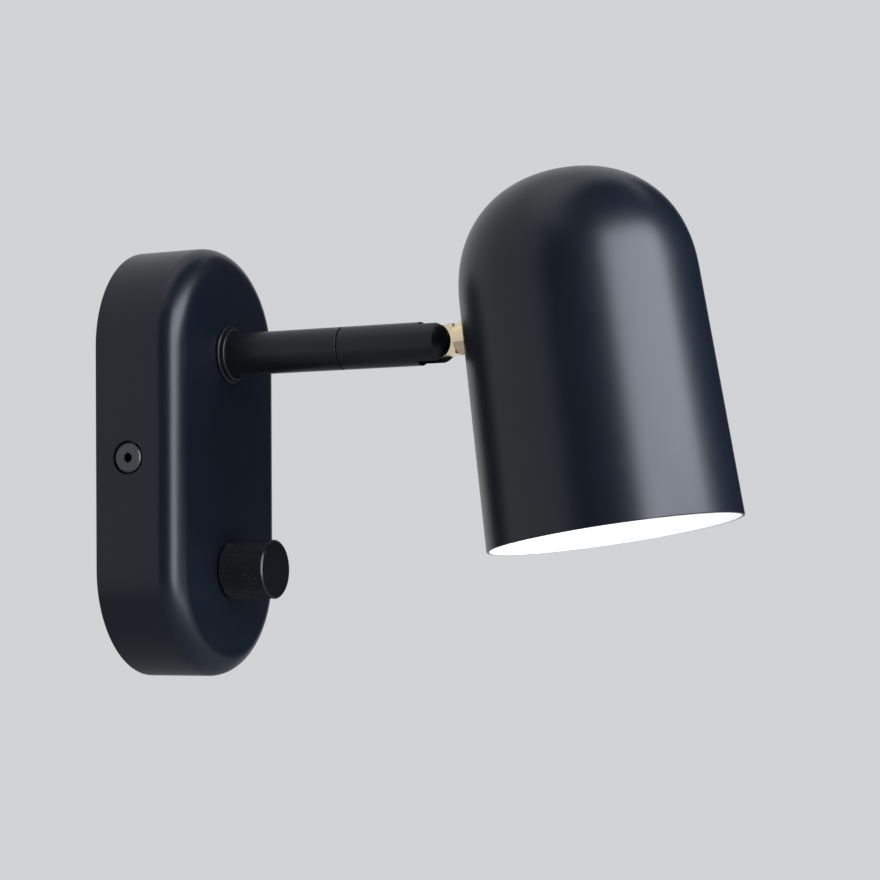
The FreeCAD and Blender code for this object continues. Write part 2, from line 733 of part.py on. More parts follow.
def make_hinge_washers():
    washers = []
    for side in (-1, 1):
        outer = side * (fork_slot / 2 - seat_gap)
        inner = side * (fork_slot / 2 - seat_gap - hinge_washer_thickness)
        low, high = sorted((outer, inner))
        disc = cross_rod(hinge_washer_radius, low, high, pivot_out, arm_height)
        hole = cross_rod(hinge_screw_radius + running_gap, low - past, high + past, pivot_out, arm_height)
        washers.append(disc.cut(hole))
    return Part.makeCompound(washers)


# ---------------------------------------------------------------- places on the tilting head
def swung(shape):
    """Takes a shape built level, with the pivot at the origin, to its place at the hinge."""
    turn = FreeCAD.Rotation(SIDEWAYS, flare_angle - shade_tilt)
    placed = shape.copy()
    placed.Placement = FreeCAD.Placement(at(0, pivot_out, arm_height), turn).multiply(placed.Placement)
    return placed


def hung(shape):
    """Takes a shape built upright, with the shade's apex at the origin, to its place on the lamp."""
    turn = FreeCAD.Rotation(SIDEWAYS, -shade_tilt)
    flare_turn = math.radians(flare_angle)
    wall_y = skirt_radius(shade_drop)
    pivot = Vector(0, wall_y + shade_reach * math.cos(flare_turn), -shade_drop + shade_reach * math.sin(flare_turn))
    offset = at(0, pivot_out, arm_height) - turn.multVec(pivot)
    placed = shape.copy()
    placed.Placement = FreeCAD.Placement(offset, turn).multiply(placed.Placement)
    return placed


def skirt_radius(level):
    """The shade's outer radius this far below the apex, on the skirt."""
    return dome_radius + flare * (level - dome_height)


def dome_curve(wall):
    """The dome's outline from the apex to the skirt, as (radius, z), inset by the wall."""
    height = dome_height - wall
    radius = dome_radius - wall - flare * height
    points = []
    steps = 12
    for step in range(steps + 1):
        angle = math.pi / 2 * step / steps
        level = height * (1 - math.cos(angle) ** (2 / dome_fullness))
        points.append(Vector(0, radius * math.sin(angle) ** (2 / dome_fullness) + flare * level, -wall - level))
    curve = Part.BSplineCurve()
    curve.interpolate(Points=points, InitialTangent=Vector(0, 1, 0), FinalTangent=Vector(0, flare, -1).normalize())
    return curve.toShape(), points[-1]


def shade_solid(wall, extra=0.0):
    """The solid inside the shade's outline, inset by the wall and carried below the mouth by extra."""
    dome, shoulder = dome_curve(wall)
    bottom = shade_length + extra
    mouth = Vector(0, mouth_radius - wall + flare * extra, -bottom)
    apex = Vector(0, 0, -wall)
    foot = Vector(0, 0, -bottom)
    skirt = Part.LineSegment(shoulder, mouth).toShape()
    base = Part.LineSegment(mouth, foot).toShape()
    axis = Part.LineSegment(foot, apex).toShape()
    return Part.Face(Part.Wire([dome, skirt, base, axis])).revolve(Vector(0, 0, 0), UPWARD, 360)


# ---------------------------------------------------------------- hinge pieces on the head
stud_end = shade_reach + shade_wall + 9.4


def make_tongue():
    """A flat tongue that becomes a round shoulder, then a hollow threaded stud."""
    thickness = fork_slot - 2 * (seat_gap + hinge_washer_thickness + face_gap)
    cheek = Part.makeCylinder(tongue_half_height, thickness, Vector(-thickness / 2, 0, 0), SIDEWAYS)
    blade = Part.makeBox(thickness, saddle_start, 2 * tongue_half_height,
                         Vector(-thickness / 2, -saddle_start, -tongue_half_height))
    tongue = cheek.fuse(blade)
    shoulder = Part.makeCylinder(tongue_half_height, saddle_start - tongue_neck_start,
                                 Vector(0, -tongue_neck_start, 0), OUTWARD)
    corners = Part.makeBox(4 * tongue_half_height, saddle_start - tongue_neck_start + past, 4 * tongue_half_height,
                           Vector(-2 * tongue_half_height, -saddle_start - past, -2 * tongue_half_height))
    tongue = tongue.cut(corners).fuse(shoulder)
    tongue = tongue.fuse(Part.makeCylinder(stud_radius, stud_end - tongue_neck_start,
                                           Vector(0, -tongue_neck_start, 0), OUTWARD))
    pin_hole = Part.makeCylinder(hinge_screw_radius + running_gap, 3 * thickness,
                                 Vector(-1.5 * thickness, 0, 0), SIDEWAYS)
    tongue = tongue.cut(pin_hole)
    groove_back = 2 * tongue_half_height
    groove = Part.makeBox(2 * stud_bore, groove_back + tongue_neck_start - 1.0, 2 * tongue_half_height,
                          Vector(-stud_bore, -(tongue_neck_start - 1.0), lead_groove_floor))
    well = Part.makeBox(2 * stud_bore, 3.2, 2 * tongue_half_height,
                        Vector(-stud_bore, -(tongue_neck_start - 1.0), -stud_bore))
    bore = Part.makeCylinder(stud_bore, stud_end, Vector(0, -(tongue_neck_start - 2.0), 0), OUTWARD)
    return swung(tongue.cut(groove).cut(well).cut(bore).removeSplitter())


def make_saddle_washer():
    """Round washer whose far side is hollowed to sit on the shade's curved wall."""
    start = saddle_start + seat_gap
    washer = Part.makeCylinder(saddle_radius, shade_reach + 2.0 - start, Vector(0, -start, 0), OUTWARD)
    hole = Part.makeCylinder(stud_radius + thread_gap, shade_reach + 6.0, Vector(0, 0, 0), OUTWARD)
    washer = swung(washer.cut(hole))
    seat = hung(shade_solid(-seat_gap))
    return washer.cut(seat)


def make_shade():
    shell = shade_solid(0).cut(shade_solid(shade_wall, past))
    rim = [edge for edge in shell.Edges if abs(edge.CenterOfMass.z + shade_length) < 1e-6]
    shell = shell.makeFillet(rim_round, rim)
    stud_hole = Part.makeCylinder(stud_radius + thread_gap, stud_end, Vector(0, 0, 0), OUTWARD)
    return hung(shell).cut(swung(stud_hole))


strip_stand_off = loose_gap + strip_width * strip_width / 8 / dome_radius   # clears the curved wall at both edges
strip_back = shade_reach + shade_wall + strip_stand_off
strip_front = strip_back + strip_sheet


def make_carrier():
    """A folded strip from the hinge up and across to the lamp holder."""
    middle = (strip_back + strip_front) / 2
    wall_y = skirt_radius(shade_drop) - (middle - shade_reach)
    low_level = shade_drop + strip_lap
    bend_level = shade_drop - strip_rise
    level = strip_top + strip_sheet / 2
    line = [(wall_y + flare * strip_lap, -low_level), (wall_y - flare * strip_rise, -bend_level)]
    line += [(strip_elbow, -level), (-strip_overhang, -level)]
    strip = folded_strip(line, strip_sheet, strip_width)
    for side in (-1, 1):
        place = Vector(0, side * holder_screw_spacing / 2, -level)
        strip = strip.cut(Part.makeCylinder(holder_screw_radius + screw_hole_gap, 4 * strip_sheet,
                                            place - UPWARD * 2 * strip_sheet, UPWARD))
    strip = hung(strip)
    hole = Part.makeCylinder(stud_radius + thread_gap, stud_end, Vector(0, 0, 0), OUTWARD)
    return strip.cut(swung(hole))


def make_shade_washer():
    start = strip_front + seat_gap
    disc = Part.makeCylinder(shade_washer_radius, shade_washer_thickness, Vector(0, -start, 0), OUTWARD)
    hole = Part.makeCylinder(stud_radius + thread_gap, stud_end, Vector(0, 0, 0), OUTWARD)
    return swung(disc.cut(hole))


def make_shade_nut():
    start = strip_front + 2 * seat_gap + shade_washer_thickness
    return swung(nut(shade_nut_flats, stud_radius + thread_gap, start, start + shade_nut_height))


# ---------------------------------------------------------------- lamp holder and lamp
holder_top = strip_top + strip_sheet + seat_gap
lamp_top = holder_top + holder_height + seat_gap
lamp_face = lamp_top + lamp_length


def down_rod(radius, start, end, y=0.0):
    """A round bar down the shade's axis between two levels below the apex."""
    return Part.makeCylinder(radius, end - start, Vector(0, y, -start), UPWARD * -1)


def down_turned(outline):
    """A solid turned about the shade's axis, from (level below the apex, radius) points."""
    points = [Vector(0, radius, -level) for level, radius in outline]
    return Part.Face(Part.makePolygon(points + points[:1])).revolve(Vector(0, 0, 0), UPWARD, 360)


def make_holder():
    """The ceramic lamp holder: two deep pin holes below and two screw holes above."""
    foot = holder_top + holder_height
    body = down_turned([(holder_top, 0), (holder_top, holder_radius - 1.5), (holder_top + 1.5, holder_radius),
                        (foot - 1.0, holder_radius), (foot, holder_radius - 1.0), (foot, 0)])
    for side in (-1, 1):
        pin = Part.makeCylinder(pin_hole_radius, pin_hole_depth + past,
                                Vector(side * pin_spacing / 2, 0, -foot - past), UPWARD)
        body = body.cut(pin)
        screw = down_rod(holder_screw_radius + thread_gap, holder_top - past, holder_top + holder_screw_length,
                         side * holder_screw_spacing / 2)
        body = body.cut(screw)
    return hung(body)


def make_holder_screws():
    screws = []
    head_foot = strip_top - seat_gap
    for side in (-1, 1):
        y = side * holder_screw_spacing / 2
        shank = down_rod(holder_screw_radius, head_foot - holder_screw_head_height / 2,
                         holder_top + holder_screw_length - past, y)
        head = down_rod(holder_screw_head_radius, head_foot - holder_screw_head_height, head_foot, y)
        head_top = Vector(-0.4, y - 3.0, holder_screw_head_height - head_foot - 0.7)
        drive = Part.makeBox(0.8, 6.0, past + 0.7, head_top)
        screws.append(hung(head.fuse(shank).cut(drive).removeSplitter()))
    return Part.makeCompound(screws)


def make_lamp_body():
    """A reflector lamp: narrow neck, flared bowl and a front rim that holds the lens."""
    neck_end = lamp_top + lamp_neck_length
    rim_start = lamp_face - lamp_rim_height
    outline = [(lamp_top, 0), (lamp_top, lamp_neck_radius), (neck_end, lamp_neck_radius + 1.0)]
    outline += [(rim_start, lamp_radius - 0.8), (rim_start + 0.8, lamp_radius), (lamp_face - 0.8, lamp_radius)]
    outline += [(lamp_face, lamp_radius - 0.8), (lamp_face, 0)]
    body = down_turned(outline)
    pocket = lamp_face - lens_recess - lens_thickness
    body = body.cut(down_rod(lens_radius + seat_gap, pocket, lamp_face + past))
    for side in (-1, 1):
        foot = Vector(side * pin_spacing / 2, 0, -lamp_top - 2.0)
        body = body.cut(Part.makeCylinder(pin_radius + seat_gap, 3.0, foot, UPWARD))
    return hung(body)


def make_lamp_pins():
    pins = []
    for side in (-1, 1):
        x = side * pin_spacing / 2
        shank = Part.makeCylinder(pin_radius, pin_length + 1.8, Vector(x, 0, -lamp_top - 1.8), UPWARD)
        head_foot = Vector(x, 0, -lamp_top + pin_length - pin_head_height)
        head = Part.makeCylinder(pin_head_radius, pin_head_height, head_foot, UPWARD)
        pins.append(hung(shank.fuse(head).removeSplitter()))
    return Part.makeCompound(pins)


def make_lens():
    start = lamp_face - lens_recess - lens_thickness + seat_gap
    return hung(down_rod(lens_radius, start, lamp_face - lens_recess))


# ---------------------------------------------------------------- internal leads
def make_supply_lead():
    """From the terminal block, through the nipple and the swivel, to the root of the fork's slot."""
    entry_out = terminal_back + terminal_entry_out
    start = at(0, entry_out, terminal_top - terminal_plug)
    corner = at(0, entry_out, arm_height)
    end = at(0, pivot_out - fork_slot_behind, arm_height)
    return bent_tube([start, corner, end], lead_radius, lead_bend)


def make_dimmer_lead():
    """From the terminal block down to the top of the dimmer."""
    entry_out = terminal_back + terminal_entry_out
    dimmer_top = -knob_drop + dimmer_side / 2
    dimmer_out = inner_front - dimmer_depth / 2
    drop = terminal_foot_level - dimmer_top
    start = at(0, entry_out, terminal_foot_level + terminal_plug)
    leave = at(0, entry_out, terminal_foot_level - 0.3 * drop)
    enter = at(0, dimmer_out, terminal_foot_level - 0.7 * drop)
    end = at(0, dimmer_out, dimmer_top)
    return bent_tube([start, leave, enter, end], lead_radius, dimmer_lead_bend)


def make_head_lead():
    """From the hollow stud up to the side of the lamp holder."""
    rise = 2 * side_lead_bend
    holder_side = skirt_radius(shade_drop) + shade_reach - holder_radius - flare * (rise + lead_radius)
    corner = holder_side - side_lead_bend - 1.0
    start = tongue_neck_start - 0.5
    points = [Vector(0, -start, 0), Vector(0, -corner, 0), Vector(0, -corner, rise), Vector(0, -holder_side, rise)]
    return swung(bent_tube(points, lead_radius, side_lead_bend - 0.01))


def main():
    os.makedirs("parts", exist_ok=True)
    save("wall_housing", make_housing())
    save("housing_screws", make_housing_screws())
    save("wall_bracket", make_bracket())
    save("cable_grommet", make_grommet())
    save("earth_screw", make_earth_screw())
    save("terminal_block", make_terminal_block())
    save("terminal_screws", make_terminal_screws())
    save("terminal_fixing_screws", make_fixing_screws())
    save("dimmer_module", make_dimmer())
    save("dimmer_washer", make_dimmer_washer())
    save("dimmer_nut", make_dimmer_nut())
    save("dimmer_shaft", make_dimmer_shaft())
    save("dimmer_knob", make_knob())
    save("knob_grub_screw", make_grub_screw())
    save("arm_collar", make_collar())
    save("arm_nipple", make_nipple())
    save("arm_lock_washer", make_arm_washer())
    save("arm_lock_nut", make_arm_nut())
    save("arm_inner_tube", make_inner_tube())
    save("swivel_bush", make_swivel_bush())
    save("swivel_spindle", make_spindle())
    save("swivel_stop_pin", make_stop_pin())
    save("swivel_spring_washer", make_spring_washer())
    save("swivel_retaining_ring", make_retaining_ring())
    save("swivel_washer", make_swivel_washer())
    save("arm_fork", make_fork())
    save("hinge_screw", make_hinge_screw())
    save("hinge_washers", make_hinge_washers())
    save("hinge_tongue", make_tongue())
    save("saddle_washer", make_saddle_washer())
    save("shade", make_shade())
    save("holder_carrier", make_carrier())
    save("shade_lock_washer", make_shade_washer())
    save("shade_lock_nut", make_shade_nut())
    save("lamp_holder", make_holder())
    save("holder_screws", make_holder_screws())
    save("lamp_body", make_lamp_body())
    save("lamp_pins", make_lamp_pins())
    save("lamp_lens", make_lens())
    save("supply_lead", make_supply_lead())
    save("dimmer_lead", make_dimmer_lead())
    save("head_lead", make_head_lead())


main()
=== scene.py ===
import json
import math

import bmesh
import bpy
from bpy.props import FloatProperty, FloatVectorProperty, IntProperty, PointerProperty
from mathutils import Matrix, Vector


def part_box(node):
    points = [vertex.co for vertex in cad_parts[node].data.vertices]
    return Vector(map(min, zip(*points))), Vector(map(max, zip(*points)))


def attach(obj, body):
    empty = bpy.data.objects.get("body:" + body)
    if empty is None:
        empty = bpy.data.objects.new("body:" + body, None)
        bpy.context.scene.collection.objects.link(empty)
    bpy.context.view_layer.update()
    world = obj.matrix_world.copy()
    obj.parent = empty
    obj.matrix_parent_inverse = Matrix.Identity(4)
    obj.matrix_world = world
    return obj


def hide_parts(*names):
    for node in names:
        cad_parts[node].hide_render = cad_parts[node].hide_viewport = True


bl_info = {
    "name": "Bedside wall reading lamp",
    "version": (1, 0, 0),
    "blender": (4, 5, 0),
    "location": "View3D > Sidebar > Reading Lamp",
    "description": "Builds the visible pieces and finishes of a wall reading lamp round its packed frame",
    "category": "Object",
}

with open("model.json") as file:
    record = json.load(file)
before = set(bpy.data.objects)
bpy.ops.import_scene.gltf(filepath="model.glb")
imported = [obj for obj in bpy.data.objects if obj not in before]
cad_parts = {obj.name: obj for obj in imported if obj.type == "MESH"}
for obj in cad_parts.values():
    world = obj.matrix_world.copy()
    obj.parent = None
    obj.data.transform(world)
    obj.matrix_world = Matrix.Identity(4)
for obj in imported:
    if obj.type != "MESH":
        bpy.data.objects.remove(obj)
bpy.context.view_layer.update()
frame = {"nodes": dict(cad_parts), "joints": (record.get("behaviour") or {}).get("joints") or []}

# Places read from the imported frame, in metres
HOUSING_LOW, HOUSING_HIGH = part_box("wall_housing")
TUBE_LOW, TUBE_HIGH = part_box("arm_inner_tube")
FORK_LOW, FORK_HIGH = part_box("arm_fork")
SCREWS_LOW, SCREWS_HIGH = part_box("housing_screws")
KNOB_LOW, KNOB_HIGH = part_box("dimmer_knob")
COLLAR_LOW, COLLAR_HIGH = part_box("arm_collar")
ARM_Z = (TUBE_LOW.z + TUBE_HIGH.z) / 2
KNOB_Z = (KNOB_LOW.z + KNOB_HIGH.z) / 2
ARM_RADIUS = (TUBE_HIGH.z - TUBE_LOW.z) / 2
PIVOT = Vector(next(joint["pos_m"] for joint in frame["joints"] if joint["name"] == "head_tilt"))
MM = 0.001

# Sizes that the seen pieces share with the solids, in metres
BOSS_REACH = 3.7 * MM
BOSS_RADIUS = 8.5 * MM
SCREW_HOLE_RADIUS = 2.75 * MM
FRONT_HOLE_DEPTH = 4 * MM
ARM_HOLE_RADIUS = 5.25 * MM
DIMMER_HOLE_RADIUS = 4.0 * MM
TUBE_BORE = 5.05 * MM
BUSH_BORE = 5.62 * MM
BUSH_LENGTH = 18 * MM
COLLAR_STEP = 1.3 * MM
COLLAR_STEP_HEIGHT = 1.2 * MM
PIN_RADIUS = 2.05 * MM
PIN_START = -6.6 * MM
PIN_END = 9 * MM
PIN_HEAD_RADIUS = 3.25 * MM
PIN_HEAD_START = 5.48 * MM
WIRE_BORE = 2.2 * MM
WIRE_STOP = 4 * MM
SPINDLE_BORE = 4.05 * MM
SPINDLE_DEPTH = 12.3 * MM
DOME_LEAN = math.radians(12.5)
KNOB_RECESS_RADIUS = 7.6 * MM
KNOB_RECESS_DEPTH = 5.6 * MM
SHAFT_BORE = 3.0 * MM
BLACK = (0.035, 0.036, 0.04)


# ---------------------------------------------------------------- sizes and colours a user would change
class LampHousingSettings(bpy.types.PropertyGroup):
    """Sizes and colours of the housing on the wall"""
    wall: FloatProperty(name="Wall", description="Thickness of the housing's wall", default=2.5 * MM,
                        unit="LENGTH", precision=4)
    edge: FloatProperty(name="Edge rounding", description="Radius of the front edge", default=8.8 * MM,
                        unit="LENGTH", precision=4)
    sink_radius: FloatProperty(name="Counterbore", description="Radius of the side screws' counterbores",
                               default=6.1 * MM, unit="LENGTH", precision=4)
    sink_depth: FloatProperty(name="Counterbore depth", description="Depth of the side screws' counterbores",
                              default=2.8 * MM, unit="LENGTH", precision=4)
    colour: FloatVectorProperty(name="Colour", description="Colour of the housing's paint", subtype="COLOR",
                                size=3, min=0, max=1, default=(0.0040, 0.0060, 0.0100))


class LampArmSettings(bpy.types.PropertyGroup):
    """Sizes and colours of the arm, its collar and its forked end"""
    slot_width: FloatProperty(name="Slot", description="Width of the fork's slot", default=8.0 * MM,
                              unit="LENGTH", precision=4)
    slot_behind: FloatProperty(name="Slot root", description="Root of the slot behind the tilt axis",
                               default=5.8 * MM, unit="LENGTH", precision=4)
    colour: FloatVectorProperty(name="Colour", description="Colour of the arm's paint", subtype="COLOR",
                                size=3, min=0, max=1, default=(0.0042, 0.0048, 0.006))
    brass: FloatVectorProperty(name="Brass", description="Colour of the hinge's brass", subtype="COLOR",
                               size=3, min=0, max=1, default=(1.0, 0.79, 0.54))


class LampShadeSettings(bpy.types.PropertyGroup):
    """Sizes and colours of the shade and the lamp in it"""
    tilt: FloatProperty(name="Tilt", description="Lean of the shade's axis, lower end away from the wall",
                        default=math.radians(8.5), subtype="ANGLE")
    length: FloatProperty(name="Length", description="Apex to mouth, along the axis", default=128.1 * MM,
                          unit="LENGTH", precision=4)
    dome_height: FloatProperty(name="Dome height", description="Height of the domed part", default=41.3 * MM,
                               unit="LENGTH", precision=4)
    dome_radius: FloatProperty(name="Dome radius", description="Radius where the dome meets the skirt",
                               default=42.1 * MM, unit="LENGTH", precision=4)
    mouth_radius: FloatProperty(name="Mouth radius", description="Outer radius at the mouth",
                                default=45.0 * MM, unit="LENGTH", precision=4)
    fullness: FloatProperty(name="Dome fullness", description="2 is an ellipse, more is squarer",
                            default=2.27)
    wall: FloatProperty(name="Wall", description="Thickness of the shade's wall", default=1.2 * MM,
                        unit="LENGTH", precision=4)
    hinge_drop: FloatProperty(name="Hinge level", description="Apex to the hinge, along the axis",
                              default=49.6 * MM, unit="LENGTH", precision=4)
    hinge_reach: FloatProperty(name="Hinge reach", description="Tilt axis to the shade's wall",
                               default=13.85 * MM, unit="LENGTH", precision=4)
    colour: FloatVectorProperty(name="Outside", description="Colour of the outside's paint", subtype="COLOR",
                                size=3, min=0, max=1, default=(0.0038, 0.0058, 0.0098))
    inside: FloatVectorProperty(name="Inside", description="Colour of the inside's paint", subtype="COLOR",
                                size=3, min=0, max=1, default=(0.86, 0.86, 0.85))
    glow: FloatProperty(name="Lamp", description="Brightness of the lamp's lens", default=6.0, min=0)


class LampKnobSettings(bpy.types.PropertyGroup):
    """Sizes and colours of the dimmer knob"""
    diamonds: IntProperty(name="Diamonds", description="Diamonds in one turn of the knurl", default=54,
                          min=12)
    rows: IntProperty(name="Rows", description="Rows of diamonds along the knob", default=14, min=2)
    depth: FloatProperty(name="Knurl depth", description="Depth of the knurl's grooves", default=0.45 * MM,
                         unit="LENGTH", precision=5)
    chamfer: FloatProperty(name="Front chamfer", description="Width of the bright front chamfer",
                           default=0.5 * MM, unit="LENGTH", precision=4)
    colour: FloatVectorProperty(name="Colour", description="Colour of the knob", subtype="COLOR", size=3,
                                min=0, max=1, default=(0.004, 0.0045, 0.006))


class LampStageSettings(bpy.types.PropertyGroup):
    """The pale stage, its lamps and the camera"""
    backdrop: FloatVectorProperty(name="Backdrop", description="Colour of the backdrop and floor",
                                  subtype="COLOR", size=3, min=0, max=1, default=(0.637, 0.651, 0.665))
    floor_level: FloatProperty(name="Floor level", description="Height of the floor", default=-0.30,
                               unit="LENGTH")
    key: FloatProperty(name="Key light", description="Power of the tall soft light", default=82.0, min=0)
    top: FloatProperty(name="Top light", description="Power of the overhead light", default=1.8, min=0)
    ambient: FloatProperty(name="Ambient", description="Strength of the even light", default=0.45, min=0)


# ---------------------------------------------------------------- helpers
def settings(name):
    return getattr(bpy.context.scene, name)


def link(name, mesh):
    obj = bpy.data.objects.new(name, mesh)
    bpy.context.scene.collection.objects.link(obj)
    return obj


def mesh_from(name, bm):
    """Writes a bmesh to a new mesh with its doubles merged and its faces outward."""
    bmesh.ops.remove_doubles(bm, verts=bm.verts, dist=1e-7)
    bmesh.ops.recalc_face_normals(bm, faces=bm.faces)
    mesh = bpy.data.meshes.new(name)
    bm.to_mesh(mesh)
    bm.free()
    return mesh


def apply_modifiers(obj):
    """Gives a piece the mesh that its modifiers make, and clears them."""
    depsgraph = bpy.context.evaluated_depsgraph_get()
    mesh = bpy.data.meshes.new_from_object(obj.evaluated_get(depsgraph))
    obj.modifiers.clear()
    obj.data = mesh


def settle(obj, angle=30):
    """Applies the modifiers and shades the piece smooth up to an angle, in degrees."""
    apply_modifiers(obj)
    obj.data.shade_smooth()
    obj.data.set_sharp_from_angle(angle=math.radians(angle))
    weighted = obj.modifiers.new("weighted", "WEIGHTED_NORMAL")
    weighted.keep_sharp = True
    weighted.weight = 100


def bevel(obj, width, segments, angle):
    """Rounds the edges of a piece that are sharper than an angle, in degrees."""
    modifier = obj.modifiers.new("rounding", "BEVEL")
    modifier.width = width
    modifier.segments = segments
    modifier.limit_method = "ANGLE"
    modifier.angle_limit = math.radians(angle)
    modifier.use_clamp_overlap = True


def carve(obj, cutters, operation="DIFFERENCE"):
    """Cuts each cutter out of a piece or joins it on, and removes the cutters."""
    for cutter in cutters:
        modifier = obj.modifiers.new("cut", "BOOLEAN")
        modifier.operation = operation
        modifier.solver = "EXACT"
        modifier.object = cutter
    apply_modifiers(obj)
    for cutter in cutters:
        bpy.data.objects.remove(cutter)


def face_out(obj, inside):
    """Turns an open shell's faces away from a point inside it."""
    facing = sum((face.center - inside).dot(face.normal) * face.area for face in obj.data.polygons)
    if facing < 0:
        obj.data.flip_normals()


def place(obj, body, slot, *nodes):
    """Rides a piece on its body and hides the CAD nodes it stands for; slot is not used."""
    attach(obj, body)
    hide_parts(*nodes)


def refinish(node, finish):
    """Gives a CAD node that keeps its shape its own finish."""
    materials = frame["nodes"][node].data.materials
    materials.clear()
    materials.append(finish)


def spun(profile, centre, axis, steps=128):
    """A bmesh turned about an axis from points given as (along the axis, radius)."""
    bm = bmesh.new()
    along = Vector(axis)
    side = Vector((0, 0, 1)) if abs(along.z) < 0.5 else Vector((0, 1, 0))
    verts = [bm.verts.new(Vector(centre) + along * a + side * r) for a, r in profile]
    edges = [bm.edges.new(pair) for pair in zip(verts, verts[1:])]
    bmesh.ops.spin(bm, geom=verts + edges, cent=centre, axis=along, angle=2 * math.pi, steps=steps,
                   use_merge=True)
    bmesh.ops.remove_doubles(bm, verts=bm.verts, dist=1e-6)
    return bm


def cylinder_cutter(name, start, end, radius, segments=64):
    """A round cutter between two points."""
    bm = bmesh.new()
    start, end = Vector(start), Vector(end)
    turn = (end - start).to_track_quat("Z", "Y").to_matrix().to_4x4()
    matrix = Matrix.Translation((start + end) / 2) @ turn
    bmesh.ops.create_cone(bm, cap_ends=True, segments=segments, radius1=radius, radius2=radius,
                          depth=(end - start).length, matrix=matrix)
    return link(name, mesh_from(name, bm))


def box_cutter(name, low, high):
    """A box-shaped cutter between two corners."""
    bm = bmesh.new()
    low, high = Vector(low), Vector(high)
    bmesh.ops.create_cube(bm, size=1)
    bmesh.ops.scale(bm, vec=high - low, verts=bm.verts)
    bmesh.ops.translate(bm, vec=(low + high) / 2, verts=bm.verts)
    return link(name, mesh_from(name, bm))


# ---------------------------------------------------------------- finishes
def new_material(name):
    material = bpy.data.materials.new(name)
    material.use_nodes = True
    tree = material.node_tree
    shader = tree.nodes["Principled BSDF"]
    coords = tree.nodes.new("ShaderNodeTexCoord")
    return material, tree, shader, coords.outputs["Object"]


def noise(tree, vector, scale, detail=2.0, roughness=0.5):
    node = tree.nodes.new("ShaderNodeTexNoise")
    node.inputs["Scale"].default_value = scale
    node.inputs["Detail"].default_value = detail
    node.inputs["Roughness"].default_value = roughness
    tree.links.new(vector, node.inputs["Vector"])
    return node.outputs["Fac"]


def spread(tree, value, low, high):
    """Maps a 0 to 1 value to a range."""
    node = tree.nodes.new("ShaderNodeMapRange")
    node.inputs["To Min"].default_value = low
    node.inputs["To Max"].default_value = high
    tree.links.new(value, node.inputs["Value"])
    return node.outputs["Result"]


def tone(tree, value, first, second):
    """A colour between two, by a 0 to 1 value."""
    node = tree.nodes.new("ShaderNodeMix")
    node.data_type = "RGBA"
    node.inputs["A"].default_value = (*first, 1)
    node.inputs["B"].default_value = (*second, 1)
    tree.links.new(value, node.inputs["Factor"])
    return node.outputs["Result"]


def bump(tree, shader, height, distance, strength):
    node = tree.nodes.new("ShaderNodeBump")
    node.inputs["Distance"].default_value = distance
    node.inputs["Strength"].default_value = strength
    tree.links.new(height, node.inputs["Height"])
    tree.links.new(node.outputs["Normal"], shader.inputs["Normal"])


def uneven(tree, shader, value, colour, low, high):
    """Gives the base colour a range from a darker to a lighter share of itself, by a 0 to 1 value."""
    ends = [tuple(min(1.0, c * factor) for c in colour) for factor in (low, high)]
    tree.links.new(tone(tree, value, *ends), shader.inputs["Base Color"])


def satin_paint(name, colour, roughness, specular):
    """Powder coat: a fine even grain, soft gloss and a slow unevenness in both."""
    material, tree, shader, where = new_material(name)
    uneven(tree, shader, noise(tree, where, 45.0, 3.0), colour, 0.9, 1.12)
    fine = noise(tree, where, 2600.0, 2.0, 0.6)
    tree.links.new(spread(tree, noise(tree, where, 160.0, 4.0), roughness - 0.03, roughness + 0.03),
                   shader.inputs["Roughness"])
    shader.inputs["Specular IOR Level"].default_value = specular
    bump(tree, shader, fine, 0.012 * MM, 0.35)
    return material


def plain_metal(name, colour, roughness, metallic=1.0):
    """Plated or machined metal with faint marks."""
    material, tree, shader, where = new_material(name)
    uneven(tree, shader, noise(tree, where, 120.0, 3.0), colour, 0.9, 1.05)
    shader.inputs["Metallic"].default_value = metallic
    fine = noise(tree, where, 900.0, 3.0)
    tree.links.new(spread(tree, fine, roughness - 0.06, roughness + 0.08), shader.inputs["Roughness"])
    bump(tree, shader, fine, 0.01 * MM, 0.3)
    return material


def brushed_brass(name, colour, roughness):
    """Turned brass: fine marks across the tongue's length and a slight unevenness in colour."""
    material, tree, shader, where = new_material(name)
    mapping = tree.nodes.new("ShaderNodeMapping")
    mapping.inputs["Scale"].default_value = (1.0, 30.0, 1.0)
    tree.links.new(where, mapping.inputs["Vector"])
    marks = noise(tree, mapping.outputs["Vector"], 420.0, 4.0)
    uneven(tree, shader, noise(tree, where, 240.0, 2.0), colour, 0.94, 1.06)
    shader.inputs["Metallic"].default_value = 1.0
    tree.links.new(spread(tree, marks, roughness - 0.05, roughness + 0.1), shader.inputs["Roughness"])
    bump(tree, shader, marks, 0.01 * MM, 0.4)
    return material


def moulded(name, colour, roughness=0.5, grain=1500.0, depth=0.02, specular=0.4):
    """Moulded plastic, rubber or ceramic with a fine surface."""
    material, tree, shader, where = new_material(name)
    uneven(tree, shader, noise(tree, where, 90.0, 2.0), colour, 0.94, 1.04)
    fine = noise(tree, where, grain, 2.0)
    tree.links.new(spread(tree, fine, roughness - 0.05, roughness + 0.05), shader.inputs["Roughness"])
    shader.inputs["Specular IOR Level"].default_value = specular
    bump(tree, shader, fine, depth * MM, 0.4)
    return material


